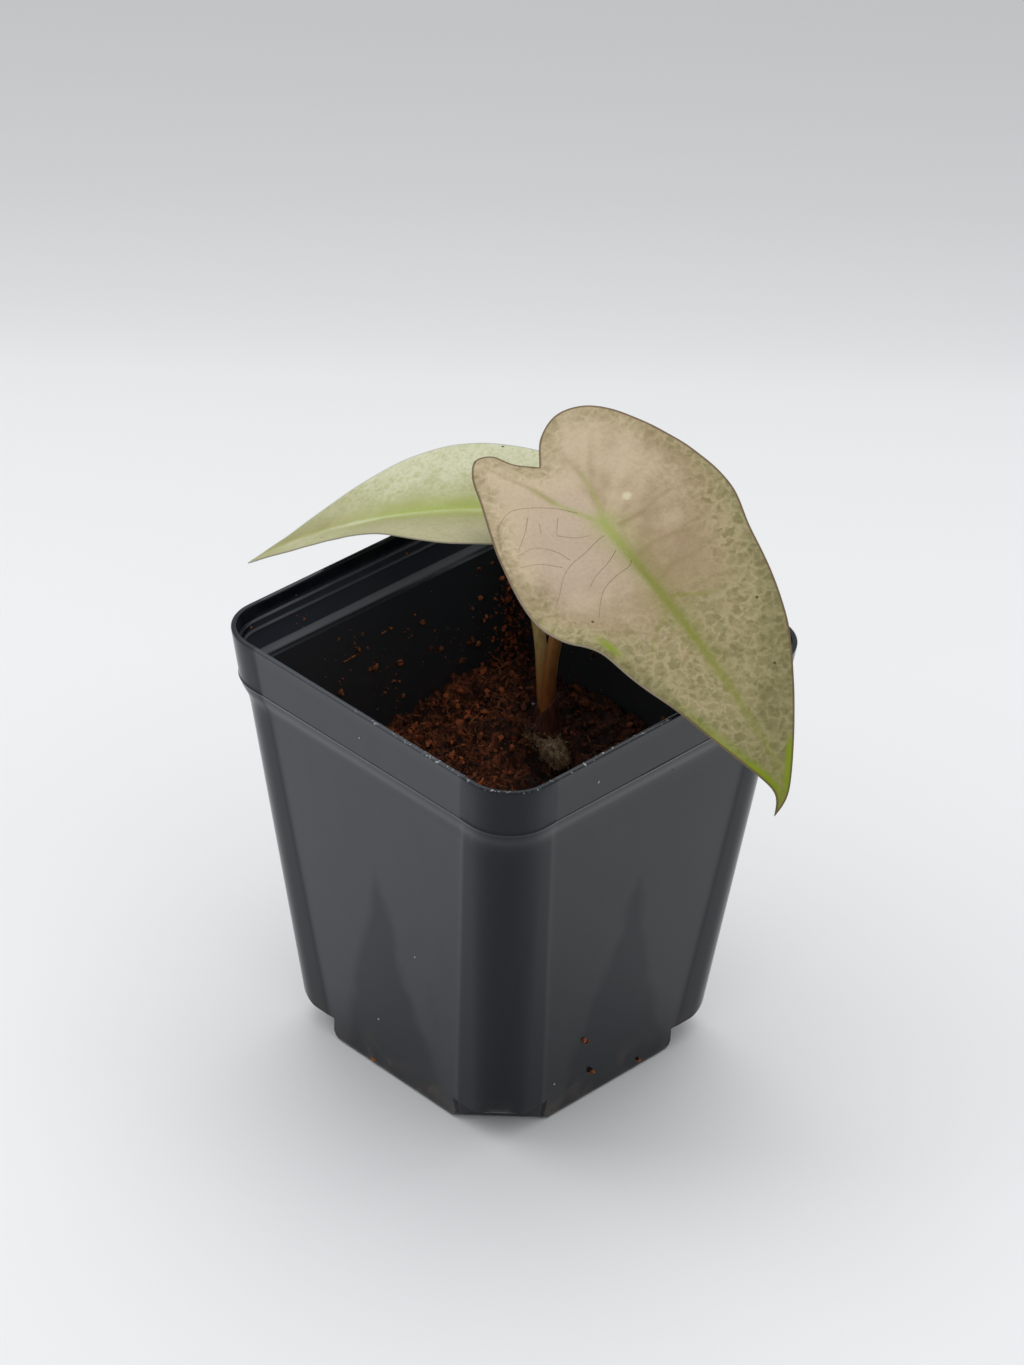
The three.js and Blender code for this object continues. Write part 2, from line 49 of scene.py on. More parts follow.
# Pot, outside sizes
POT_HEIGHT = 78.5
POT_TOP_WIDTH = 70
POT_BASE_WIDTH = 50.2
BODY_TOP_WIDTH = 65.7
BAND_BOTTOM_WIDTH = 67.9
BODY_TOP_Z = 66.4
BAND_BOTTOM_Z = 69.4
TOP_CORNER_RADIUS = 8.3
BASE_CORNER_RADIUS = 6.2
WALL = 0.9
LEDGE_BOTTOM_Z = 68.4
LEDGE_TOP_Z = 70.1
RIB_DEPTH = 0.3
RIB_HALF_HEIGHT = 0.35
RIB_LEVELS = [75.6, 73.9]
CORNER_LIFT = 4.6
FOOT_HALF_LENGTH = 15.1
CORNER_CUT_FROM = 32.4
FOOT_ROUND = 1.9
RIM_ROUNDING = 0.3
BLOCK_SIZE = 20
CORNER_TURNS = (45, 135, 225, 315)
DRAIN_SLOT = {"width": 2.2, "length": 7, "from_centre": 30.2}

# Rounded shoulder between body and band: [height above the body, width outside it]
SHOULDER = [[-2.4, -0.28], [-1.2, -0.1], [-0.2, 0.1], [0.6, 0.36], [1.3, 0.64], [2.0, 0.88], [2.6, 1.03]]
# Fine bead where the band starts, seen as a bright hairline
BEAD = [[-0.12, 0.02], [0.0, 0.10], [0.14, 0.11], [0.28, 0.0]]
# The corners stand a little proud of the flat faces, from this line beside each corner
CORNER_ZONE = 10
CORNER_STEP = 0.1
CORNER_STEP_WIDTH = 1.5
# Inside the rim, distances are counted from a square of this half width
RIM_CORE = 25.4
FAR = 1000
# The faces bow out by this much halfway
FACE_BOW = 0.15

# Coir
COIR_LEVEL = 46.5
MOUND = {"x": -6, "y": 15, "height": 3.6, "radius": 12}
HOLLOW = {"x": 0.5, "y": 10.5, "height": -4.5, "radius": 5}
BACK_RISE = 0.045
LUMP_HEIGHT = 0.55
GAP = 0.3
# Painted shade on the coir and its crumbs: its tone, and the way towards which it deepens
COIR_SHADE = (26, 13, 9)
COIR_SHADE_WAY = (0.7, 0.7)
COIR_CELL = 0.36
COIR_BOTTOM = 6.2
COIR_SWELL = 0.15

# How many crumbs, fibres and hairs there are
LITTER = {"crumbs": 2400, "fibres": 900, "wall": 420, "heap": 900, "hairs": 520}
# Walls are counted from +X round to the left: 0 is +X, 1 is +Y, 2 is -X and 3 is -Y
# Clusters of crumbs on the inside walls: [wall, along it, height, spread, count]
WALL_CLUSTERS = [[2, 6, 64, 1.1, 12], [2, 1, 58, 0.9, 9], [2, -8, 60, 0.9, 7], [2, 12, 57, 1.2, 12],
                 [2, -14, 55, 1.3, 12], [2, -2, 52, 1.6, 16], [2, -19, 52, 1.1, 8], [2, -22, 70, 0.6, 4],
                 [1, 4, 58, 1.2, 8], [1, 15, 56, 1.4, 8], [1, -12, 56, 1.2, 10], [2, 16, 71, 0.6, 5]]
# Bits on the outside: [wall, along it, height, size]
OUTSIDE_BITS = [[0, -7.9, 14.6, 0.45], [0, -4.6, 5.9, 0.5], [0, 7.0, 1.4, 0.4], [3, -5.1, 1.2, 0.35],
                [0, -6.8, 13.4, 0.25]]
# Threads on the -X wall: [along it, height, length]
WALL_THREADS = [[8.0, 61.2, 4.4], [-0.5, 62.9, 2.6]]
# Pale grit on the outside: [wall, along it, height], and a bead beside the stalk
PALE_GRIT = [[3, 8.2, 31.6], [3, -2.7, 11.6], [0, -13.5, 7.7], [0, -14.5, 73.2], [3, 0.4, 73.5]]
PALE_BEAD = (-11.7, 16.6, 51.0)

# Corm
CORM = {"top": (-8.2, 14.4, 49.0), "bottom": (-0.6, 13.4, 45.3), "radius": 2.3}

# The coir is sunk along this line in front of the corm
CORM_TRENCH = [[-7.0, 12.4], [1.5, 11.6]]

# Petioles: points from the foot to the blade, and radii at both ends
PETIOLE_FRONT = {
    "path": [(-5.8, 14.4, 49.2), (-5.4, 13.8, 57.4), (-4.2, 13.3, 66.4), (-1.2, 13.7, 80), (2.4, 15.3, 91),
             (3.9, 16.0, 95.2)],
    "radii": (1.2, 1.15),
}
PETIOLE_BACK = {
    "path": [(-8.0, 15.9, 49.2), (-8.9, 16.0, 55.3), (-10.3, 16.4, 64.5), (-13.6, 17.0, 74),
             (-17.0, 17.7, 81), (-18.7, 17.6, 86.6)],
    "radii": (1.05, 1.0),
}
SHEATH = {"thickness": 0.6, "foot_z": 50, "cut_through": (-4.2, 12.6, 55.5), "slant": 56}

# Blades, laid out in their own flat sheets: s runs along the midrib, w across it
FOLD_ROUNDING = 2
TIP_LENGTH = 10
FAN_LEAD = 6
BLADE_FRONT = {
    "base": (3.7, 15.9, 94.8),
    "tip_shift": -2.7,
    "heading": [[-22, -7], [45, -6.5], [52, -8], [62, -35]],
    "pitch": [[-22, -17], [0, -19], [20, -22], [40, -31], [52, -42], [62, -85]],
    "roll": [[-22, 15], [62, 11]],
    "fold_right": [[-20, 8], [60, 8]],
    "fold_left": [[-20, 5], [2, 4], [11, 2], [21, 9], [32, 6], [50, 4]],
    "right": [[-14.5, -2.6], [-19.2, 0.9], [-21.3, 5.4], [-20.2, 9.6], [-16.8, 13.1], [-9.2, 17.0],
              [-1, 19.6], [7, 20.4], [15, 18.4], [23, 16.7], [32, 13.8], [40, 9.6], [47, 5.5], [53, 1.7],
              [57, -0.5], [59.8, -2.7]],
    "left": [[-14.5, -2.6], [-17.2, -5.9], [-20.5, -7.9], [-21.2, -10.6], [-18.9, -12.9], [-12.5, -15.3],
             [-4, -18.4], [4.5, -20.4], [11, -20.8], [16.5, -19.7], [22, -15.8], [28, -14.0], [36, -10.6],
             [45, -7.1], [52, -3.9], [56, -2.2], [59.8, -2.7]],
}
BLADE_BACK = {
    "base": (-18.6, 17.5, 86.2),
    "tip_shift": 0,
    "heading": [[-20, 228], [50, 205]],
    "pitch": [[-20, 3], [0, -2.5], [25, -22], [50, -41]],
    "roll": [[-20, -2], [50, -2]],
    "fold_right": [[-10, 14], [8, 16], [20, 24], [30, 19], [42, 8]],
    "fold_left": [[-20, 8], [50, 8]],
    "right": [[-12.5, 0], [-15.4, 2.6], [-17.9, 5.2], [-17.6, 8.6], [-14.4, 11.5], [-9, 13.8], [-3, 15.8],
              [4, 16.6], [12, 16.7], [18, 15.0], [23.5, 12.8], [29, 9.3], [36, 6.0], [43, 2.9], [50, 0]],
    "left": [[-12.5, 0], [-15.4, -2.6], [-17.9, -5.2], [-17.4, -8.6], [-14.4, -11.2], [-9, -13.4],
             [-3.5, -14.8], [4, -16.3], [11, -16.6], [17, -15.6], [23, -13.6], [29, -10.5], [35, -6.9],
             [42, -2.8], [50, 0]],
}
# Half thickness of the blade inside and at its margin
BLADE_HALF = 0.26
MARGIN_HALF = 0.1
MIDRIB_DEPTH = 0.75
MIDRIB_HALF_WIDTH = 1.0
FAN_RAYS = 72
SIDE_RAYS = 170
BLADE_STEPS = 46

# Veins of the front blade: [width, strength, points], with points as [s, w]
FRONT_GREEN_VEINS = [
    [0.55, 0.8, [[0, -0.8], [-3.4, -2.8], [-7.2, -4.9], [-11.2, -6.4]]],
    [0.5, 0.6, [[-0.8, 0.1], [-3.4, 1.2], [-6.5, 1.9], [-10.4, 2.1]]],
    [0.5, 0.75, [[17.6, 0.2], [18.8, 2.4], [20.3, 4.6], [21.5, 7.9]]],
    [0.4, 0.7, [[18.6, 0.2], [20, -1.4], [22.2, -4.6], [24, -6.8], [26.2, -8.4]]],
]
FRONT_SOFT_VEINS = [
    [0.42, 0.75, [[2.2, 1.7], [2.5, 5.5], [2.0, 8.8], [1.8, 11.9], [3.4, 16.0]]],
    [0.42, 0.6, [[8.8, 1.1], [8.2, 3.7], [8.9, 7.9], [10.4, 12.5]]],
    [0.45, 0.65, [[14.4, 1.9], [13.3, 3.9], [13.6, 7.6], [13.7, 10.4]]],
    [0.45, 0.65, [[-7.2, -4.9], [-11.2, -6.4], [-15.1, -8.4], [-18.5, -10.0]]],
    [0.5, 0.45, [[-6.5, 1.9], [-10.4, 2.1], [-13.9, 1.7]]],
    [0.7, 0.4, [[-4.1, 1.2], [-10.8, 4.9], [-15.3, 8.5]]],
]
FRONT_HAIRLINES = [
    [[2.6, -1.6], [2.8, -2.8], [3.8, -6.1], [4.7, -9.7], [6.1, -12.1], [8.2, -14.2], [10.1, -16.4]],
    [[8.8, -0.6], [9.6, -1.4], [10.2, -4.5], [11.3, -7.6], [13.2, -9.7], [15.7, -11.7]],
    [[6, -1.6], [7.4, -4.3], [8.7, -7.8], [9.7, -9.3]],
    [[3.7, -9.2], [1.5, -10], [-1.2, -12.8], [-1.2, -15.8]],
    [[4.3, -11.1], [2, -13.8], [0.9, -16.9]],
    [[-6.8, -10.2], [-4.5, -12.3], [-2.1, -15.2]],
    [[-4.7, -9.4], [-2.8, -10.3]],
    [[-4.3, -6], [-1.5, -8.2]],
    [[-1.3, -8.3], [0.6, -6], [1.5, -3.6]],
    [[-3.4, -2.8], [-6.3, -5.6], [-9.3, -11.6], [-8.3, -14.4], [-6.7, -16.1], [-2.7, -17.8], [1.3, -18.8]],
]
FRONT_DOTS = [[16, -13.2], [36.7, 8.1], [25.9, 12.0], [-21.0, -11.0]]
BACK_DOTS = [[31.6, 5.2], [49.0, -0.3], [3.2, -15.5]]
PALE_SPOT = [-1.4, 5.7]

# Camera, fitted to the photograph
CAMERA = {"azimuth": 45.139, "elevation": 33.648, "roll": 1.677, "distance": 938.22, "lens": 145.26}
CAMERA_SLIDE = (-1.547, -57.036)

# Painted shade on the floor: tones by distance behind the pot as the camera sees it, darker far behind
FLOOR_SHADE_TONES = [[-260, 0.80], [-90, 0.83], [-49, 0.845], [-23, 0.835], [5, 0.825], [50, 0.80], [110, 0.79],
               [149, 0.765], [186, 0.735], [213, 0.70], [230, 0.645], [246, 0.607], [289, 0.535],
               [335, 0.494], [379, 0.466], [600, 0.40]]


# Small helpers

def unit(v):
    return v / np.linalg.norm(v, axis=-1, keepdims=True)


def turned(degrees):
    return math.cos(math.radians(degrees)), math.sin(math.radians(degrees))


def spun(x, y, degrees):
    """A place turned about the middle of the pot."""
    c, s = turned(degrees)
    return x * c - y * s, x * s + y * c


def ease(low, high, x):
    """Smooth step from 0 to 1 between two levels."""
    t = np.clip((np.asarray(x, float) - low) / (high - low), 0, 1)
    return t * t * (3 - 2 * t)


def hermite(pairs):
    """Smooth curve through [x, y] pairs, held level past both ends."""
    x = np.array([p[0] for p in pairs], float)
    y = np.array([p[1] for p in pairs], float)
    low = np.maximum(np.arange(len(x)) - 1, 0)
    high = np.minimum(np.arange(len(x)) + 1, len(x) - 1)
    slope = (y[high] - y[low]) / (x[high] - x[low])

    def at(value):
        v = np.clip(value, x[0], x[-1])
        i = np.clip(np.searchsorted(x, v, side="right") - 1, 0, len(x) - 2)
        width = x[i + 1] - x[i]
        t = (v - x[i]) / width
        return ((1 + 2 * t) * (1 - t) ** 2 * y[i] + t * (1 - t) ** 2 * width * slope[i]
                + t * t * (3 - 2 * t) * y[i + 1] + t * t * (t - 1) * width * slope[i + 1])
    return at


def run_of(line):
    """Distance along a line up to each of its points."""
    return np.concatenate([[0], np.cumsum(np.linalg.norm(np.diff(line, axis=0), axis=1))])


def spaced(line, count, cut_end=0.0):
    """Evenly spaced points on a line, up to a length before its end."""
    run = run_of(line)
    at = np.linspace(0, run[-1] - cut_end, count)
    return np.stack([np.interp(at, run, column) for column in line.T], axis=1)


def through(points, count):
    """Evenly spaced points on a centripetal curve through some points."""
    p = np.array(points, float)
    p = np.vstack([2 * p[0] - p[1], p, 2 * p[-1] - p[-2]])
    knots = np.concatenate([[0], np.cumsum(np.sqrt(np.linalg.norm(np.diff(p, axis=0), axis=1)))])
    dense = []
    for i in range(1, len(p) - 2):
        t = np.linspace(knots[i], knots[i + 1], 60, endpoint=False)[:, None]
        near, at = p[i - 1:i + 3], knots[i - 1:i + 3]
        for starts, span in (((0, 1, 2), 1), ((0, 1), 2), ((1,), 1)):
            near = [((at[k + span] - t) * a + (t - at[k]) * b) / (at[k + span] - at[k])
                    for k, a, b in zip(starts, near, near[1:])]
        dense.append(near[0])
    return spaced(np.vstack(dense + [p[-2:-1]]), count)


def distance_to_line(points, line):
    """Distance from each 2-D point to a line, and how far along it the nearest place is (0 to 1)."""
    line = np.array(line, float)
    best = np.full(len(points), 1e9)
    along = np.zeros(len(points))
    run = run_of(line)
    for i, (start, edge) in enumerate(zip(line, np.diff(line, axis=0))):
        t = np.clip(((points - start) @ edge) / max(edge @ edge, 1e-12), 0, 1)
        d = np.linalg.norm(points - start - t[:, None] * edge, axis=1)
        along = np.where(d < best, (run[i] + t * (run[i + 1] - run[i])) / run[-1], along)
        best = np.minimum(best, d)
    return best, along


def waves(points, size, seed, octaves=3):
    """Fractal noise, about -1 to 1, for each 3-D point."""
    shift = Vector((seed * 17.3, seed * -9.1, seed * 5.7))
    return np.array([noise.fractal(Vector(p) / size + shift, 1.0, 2.0, octaves) for p in points.tolist()])


def linked(name, data):
    """A new object in the scene."""
    made = bpy.data.objects.new(name, data)
    bpy.context.scene.collection.objects.link(made)
    return made


def solid(name, points, faces, material=None):
    """An object from points in millimetres."""
    mesh = bpy.data.meshes.new(name)
    mesh.from_pydata((np.asarray(points) * MM).tolist(), [], [list(f) for f in faces])
    mesh.validate()
    mesh.shade_smooth()
    if material:
        mesh.materials.append(material)
    return linked(name, mesh)


def mesh_piece(name, points, faces, material, slot, node=None, attributes=None):
    """A piece of the part, with the solid it stands for and its point attributes. The slot is not used."""
    piece = solid(name, points, faces, material)
    for key, values in (attributes or {}).items():
        values = np.asarray(values, np.float32)
        kind, field = ("FLOAT_VECTOR", "vector") if values.ndim == 2 else ("FLOAT", "value")
        piece.data.attributes.new(key, kind, "POINT").data.foreach_set(field, values.ravel())
    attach(piece, "root")
    if node:
        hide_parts(node)
    return piece


def circle(centre, radius, side, over, count):
    """Ring of points round a centre, in the plane of two directions."""
    angles = np.arange(count)[:, None] * 2 * math.pi / count
    return centre + radius * (np.cos(angles) * side + np.sin(angles) * over)


def loft(rings):
    """Points and faces of a stack of rings closed by a cap at both ends."""
    count = len(rings[0])
    points = np.vstack(list(rings) + [np.mean(rings[0], axis=0)[None], np.mean(rings[-1], axis=0)[None]])
    level = np.arange(len(rings) - 1)[:, None] * count
    i = np.arange(count)[None]
    j = (i + 1) % count
    quads = np.stack([level + i, level + j, level + j + count, level + i + count], axis=-1).reshape(-1, 4)
    foot, head = len(points) - 2, len(points) - 1
    last = (len(rings) - 1) * count
    faces = quads.tolist()
    faces += [[foot, b, a] for a, b in zip(i[0].tolist(), j[0].tolist())]
    faces += [[head, last + a, last + b] for a, b in zip(i[0].tolist(), j[0].tolist())]
    return points, faces


def grid_quads(grid):
    """Faces of a grid of point numbers."""
    return np.stack([grid[:-1, :-1], grid[1:, :-1], grid[1:, 1:], grid[:-1, 1:]], axis=-1).reshape(-1, 4)


def fuse(parts):
    """Several (points, faces) in one."""
    points, faces, start = [], [], 0
    for p, f in parts:
        points.append(p)
        faces += [[k + start for k in face] for face in f]
        start += len(p)
    return np.vstack(points), faces


def carved(piece, cutters):
    """Cuts the cutters out of the piece and removes them."""
    for cutter in cutters:
        cut = piece.modifiers.new("cut", "BOOLEAN")
        cut.solver = "MANIFOLD"
        cut.object = cutter
    graph = bpy.context.evaluated_depsgraph_get()
    mesh = bpy.data.meshes.new_from_object(piece.evaluated_get(graph))
    piece.modifiers.clear()
    piece.data = mesh
    for cutter in cutters:
        bpy.data.objects.remove(cutter)


# Materials

def tone(red, green, blue):
    """A linear colour from red, green and blue on the 0 to 255 scale."""
    parts = [v / 255 for v in (red, green, blue)]
    return [v / 12.92 if v <= 0.04045 else ((v + 0.055) / 1.055) ** 2.4 for v in parts] + [1]


def join(socket, value):
    """Gives a socket a term, a number, a vector or a colour."""
    if isinstance(value, Term):
        value.tree.links.new(value.socket, socket)
    elif socket.type == "RGBA" and len(value) == 3:
        socket.default_value = tone(*value)
    else:
        socket.default_value = value


class Term:
    """An output of a shader node. Sums, products and the methods below make the nodes that follow it."""

    def __init__(self, tree, socket):
        self.tree = tree
        self.socket = socket

    def node(self, kind, inputs=(), output=0, **settings):
        made = self.tree.nodes.new("ShaderNode" + kind)
        for key, value in settings.items():
            setattr(made, key, value)
        for key, value in dict(inputs).items():
            join(made.inputs[key], value)
        return Term(self.tree, made.outputs[output])

    def math(self, operation, other=0.0):
        return self.node("Math", {0: self, 1: other}, operation=operation)

    __add__ = partialmethod(math, "ADD")
    __sub__ = partialmethod(math, "SUBTRACT")
    __mul__ = partialmethod(math, "MULTIPLY")
    __abs__ = partialmethod(math, "ABSOLUTE")
    most = partialmethod(math, "MAXIMUM")
    least = partialmethod(math, "MINIMUM")

    def vector(self, operation, other=(0, 0, 0), output=0):
        return self.node("VectorMath", {0: self, 1: other}, output, operation=operation)

    def along(self, x, y):
        """How far this place lies in a level direction."""
        return self.vector("DOT_PRODUCT", (x, y, 0), "Value")

    def beyond(self, box):
        """How far this place lies outside a box of this half size round the middle."""
        out = self.vector("ABSOLUTE").vector("SUBTRACT", box).vector("MAXIMUM")
        return out.vector("LENGTH", output="Value")

    def split(self):
        outputs = self.node("SeparateXYZ", {0: self}).socket.node.outputs
        return [Term(self.tree, output) for output in outputs]

    def ramp(self, low, high, start=0.0, end=1.0):
        """Smooth step of this value between two of its levels."""
        levels = {0: self, 1: low, 2: high, 3: start, 4: end}
        return self.node("MapRange", levels, interpolation_type="SMOOTHSTEP")

    def noise(self, size, detail=3, roughness=0.5, distortion=0, output="Fac"):
        levels = {"Scale": 1 / size, "Detail": detail, "Roughness": roughness, "Distortion": distortion}
        return self.node("TexNoise", {"Vector": self, **levels}, output)

    def cells(self, size, output="Distance", feature="F1"):
        return self.node("TexVoronoi", {"Vector": self, "Scale": 1 / size}, output, feature=feature)


def mix(factor, a, b, blend="MIX"):
    term = factor if isinstance(factor, Term) else a
    return term.node("Mix", {0: factor, 6: a, 7: b}, 2, data_type="RGBA", blend_type=blend)


class Shader(Term):
    """A Principled material, and the terms that it starts from."""

    def __init__(self, name):
        self.material = bpy.data.materials.new(name)
        self.material.use_nodes = True
        self.tree = self.material.node_tree
        self.surface = self.tree.nodes["Principled BSDF"].inputs

    def place(self):
        """Place on the piece in millimetres."""
        at = self.node("TexCoord", (), "Object")
        return at.node("VectorMath", {0: at, 3: 1 / MM}, operation="SCALE")

    def attribute(self, name, output="Fac"):
        return self.node("Attribute", (), output, attribute_name=name)

    def long_streak(self, size, detail):
        """Noise drawn out along the height."""
        return self.place().vector("MULTIPLY", (1, 1, 0.12)).noise(size, detail, 0.6)

    def bump(self, height, depth, strength):
        """Joins a relief, in millimetres of depth, to the surface."""
        levels = {"Height": height, "Distance": depth * MM, "Strength": strength}
        join(self.surface["Normal"], self.node("Bump", levels))

    def cover(self, colour, roughness, specular):
        join(self.surface["Base Color"], colour)
        join(self.surface["Roughness"], roughness)
        join(self.surface["Specular IOR Level"], specular)
        return self.material


# Camera, light and floor

def add_camera():
    ca, sa = turned(CAMERA["azimuth"])
    ce, se = turned(CAMERA["elevation"])
    cr, sr = turned(CAMERA["roll"])
    back = np.array([sa * ce, -ca * ce, se])
    level = np.array([ca, sa, 0.0])
    rise = np.cross(back, level)
    right, up = level * cr + rise * sr, rise * cr - level * sr
    place = -CAMERA_SLIDE[0] * right - CAMERA_SLIDE[1] * up + CAMERA["distance"] * back
    data = bpy.data.cameras.new("camera")
    data.lens = CAMERA["lens"]
    data.clip_start = 0.05
    data.clip_end = 20
    camera = linked("camera", data)
    turn = Matrix((right, up, back)).transposed().to_4x4()
    camera.matrix_world = Matrix.Translation(Vector(place * MM)) @ turn
    bpy.context.scene.camera = camera


def add_light(name, place, size, power):
    """A soft light in metres that looks at the pot."""
    data = bpy.data.lights.new(name, "AREA")
    data.shape = "RECTANGLE"
    data.size, data.size_y = size
    data.energy = power
    turn = (Vector(place) - Vector((0, 0, 0.05))).to_track_quat("Z", "Y").to_matrix().to_4x4()
    linked(name, data).matrix_world = Matrix.Translation(Vector(place)) @ turn


def add_studio():
    scene = bpy.context.scene
    scene.view_settings.view_transform = "Standard"
    scene.world = bpy.data.worlds.new("studio")
    scene.world.use_nodes = True
    sky = scene.world.node_tree.nodes["Background"].inputs
    sky["Color"].default_value = (0.95, 0.98, 1.0, 1)
    sky["Strength"].default_value = 0.80
    # A wide soft light behind and above the pot, and a smaller one to the left
    add_light("light_back", (-0.35, 0.45, 1.2), (1.3, 1.1), 6)
    add_light("light_left", (-0.85, -0.55, 0.9), (0.8, 0.8), 2.5)


def add_floor():
    shader = Shader("floor")
    ca, sa = turned(CAMERA["azimuth"])
    # The floor is painted darker with distance behind the pot, a painted falloff of the light
    behind = shader.place().along(-sa, ca)
    low, high = FLOOR_SHADE_TONES[0][0], FLOOR_SHADE_TONES[-1][0]
    share = behind.node("MapRange", {0: behind, 1: low, 2: high})
    colour = share.node("ValToRGB", {0: share})
    stops = colour.socket.node.color_ramp.elements
    while len(stops) < len(FLOOR_SHADE_TONES):
        stops.new(0.5)
    for stop, (at, level) in zip(stops, FLOOR_SHADE_TONES):
        stop.position = (at - low) / (high - low)
        stop.color = (level, level * 0.995, level, 1)
    half = 3000
    corners = [(-half, -half, 0), (half, -half, 0), (half, half, 0), (-half, half, 0)]
    solid("floor", corners, [range(4)], shader.cover(colour, 0.6, 0.1))


# Pot

def body_half(z):
    return (POT_BASE_WIDTH + (BODY_TOP_WIDTH - POT_BASE_WIDTH) * z / BODY_TOP_Z) / 2


def band_half(z):
    share = (z - BAND_BOTTOM_Z) / (POT_HEIGHT - BAND_BOTTOM_Z)
    return (BAND_BOTTOM_WIDTH + (POT_TOP_WIDTH - BAND_BOTTOM_WIDTH) * share) / 2


def corner_radius(z):
    return BASE_CORNER_RADIUS + (TOP_CORNER_RADIUS - BASE_CORNER_RADIUS) * z / POT_HEIGHT


def square_ring(z, half, inset=0.0, step=0.0, bow=0.0, corner_steps=14):
    """Square ring with round corners, whose corner zones may stand proud and whose sides may bow."""
    half = half - inset
    radius = corner_radius(z) - inset
    quarter = []
    for i in range(corner_steps + 1):
        c, s = turned(90 * i / corner_steps)
        quarter.append((half - radius + (radius + step) * c, half - radius + (radius + step) * s))
    line = half - CORNER_ZONE
    edge = np.linspace(-0.5, 0.5, 5) * CORNER_STEP_WIDTH
    for x in np.concatenate([line - edge, np.linspace(line - 1.5, -line + 1.5, 12), -line - edge]):
        proud = step * ease(line - CORNER_STEP_WIDTH / 2, line + CORNER_STEP_WIDTH / 2, abs(x))
        quarter.append((x, half + proud + bow * max(0.0, 1 - (x / line) ** 2)))
    return np.array([(*spun(x, y, 90 * k), z) for k in range(4) for x, y in quarter])


def corner_blocks(grow):
    """Four blocks that cut the corners off the base, with the lower edge of each corner rounded."""
    inner = (POT_BASE_WIDTH / 2 + FOOT_HALF_LENGTH) / math.sqrt(2) - grow
    top = CORNER_LIFT + grow
    cut_from = CORNER_CUT_FROM - grow * math.tan(math.radians(22.5))
    outer = inner + BLOCK_SIZE
    profile = [(inner - FOOT_ROUND, -BLOCK_SIZE), (outer, -BLOCK_SIZE), (outer, top + outer - cut_from)]
    # Parabola between the slope and the flat
    profile += [(cut_from + 2 * t - 1, top + t * t) for t in np.linspace(1, 0, 7)]
    profile.append((inner, top))
    # The foot's own corners are rounded too
    for degrees in (0, 30, 60, 90):
        c, s = turned(degrees)
        profile.append((inner - FOOT_ROUND * (1 - c), FOOT_ROUND * (1 - s)))
    return [solid("block", *loft([np.array([(*spun(x, y, turn), z) for x, z in profile])
                                  for y in (BLOCK_SIZE, -BLOCK_SIZE)])) for turn in CORNER_TURNS]


def drain_slots():
    mid, wide, long = DRAIN_SLOT["from_centre"], DRAIN_SLOT["width"] / 2, DRAIN_SLOT["length"] / 2
    corners = [(mid - wide, -long), (mid + wide, -long), (mid + wide, long), (mid - wide, long)]
    return [solid("slot", *loft([np.array([(*spun(x, y, turn), z) for x, y in corners])
                                 for z in (CORNER_LIFT - 2, CORNER_LIFT + 3)])) for turn in CORNER_TURNS]


def add_pot():
    # Rows of height, half width, inset, step and bow, from the base up
    outside = []
    for z in [0, 0.15, 0.4, *np.linspace(1, BODY_TOP_Z - 4, 21)]:
        inset = 0.45 * (1 - min(z / 0.4, 1)) ** 2
        outside.append((z, body_half(z), inset, CORNER_STEP, FACE_BOW * math.sin(math.pi * z / BODY_TOP_Z)))
    for rise, out in SHOULDER:
        outside.append((BODY_TOP_Z + rise, BODY_TOP_WIDTH / 2 + out, 0, CORNER_STEP))
    for rise, out in BEAD:
        outside.append((BAND_BOTTOM_Z + rise, band_half(BAND_BOTTOM_Z + rise), -out, CORNER_STEP))
    for z in np.linspace(BAND_BOTTOM_Z + 0.8, POT_HEIGHT - 0.6, 5):
        outside.append((z, band_half(z), 0, CORNER_STEP * 0.6))
    for degrees in (0, 25, 50, 75, 90):
        c, s = turned(degrees)
        outside.append((POT_HEIGHT - RIM_ROUNDING * (1 - s), POT_TOP_WIDTH / 2, RIM_ROUNDING * (1 - c)))

    inside = [(z, body_half(z), WALL) for z in np.linspace(WALL, BODY_TOP_Z, 12)]
    for share in (0, 0.25, 0.5, 0.75, 1.0):
        z = LEDGE_BOTTOM_Z + (LEDGE_TOP_Z - LEDGE_BOTTOM_Z) * share ** 1.3
        half = body_half(BODY_TOP_Z) + (band_half(LEDGE_TOP_Z) - body_half(BODY_TOP_Z)) * share
        inside.append((z, half, WALL))
    for level in reversed(RIB_LEVELS):
        for rise in (-1, -0.5, 0, 0.5, 1):
            z = level + rise * RIB_HALF_HEIGHT
            inside.append((z, band_half(z), WALL + RIB_DEPTH * (1 - rise * rise)))
    for degrees in (90, 60, 30, 0):
        c, s = turned(degrees)
        inside.append((POT_HEIGHT - RIM_ROUNDING * (1 - c), POT_TOP_WIDTH / 2, WALL - RIM_ROUNDING * (1 - s)))
    inside.append((POT_HEIGHT + 1, POT_TOP_WIDTH / 2, WALL - RIM_ROUNDING))

    shell, hollow = [loft([square_ring(*row) for row in rows]) for rows in (outside, inside)]
    shell = mesh_piece("pot_body", *shell, pot_material(), "pot_plastic", "pot")
    hollow = solid("hollow", *hollow)
    carved(hollow, corner_blocks(WALL))
    carved(shell, corner_blocks(0) + [hollow] + drain_slots())
    shell.data.set_sharp_from_angle(angle=math.radians(38))


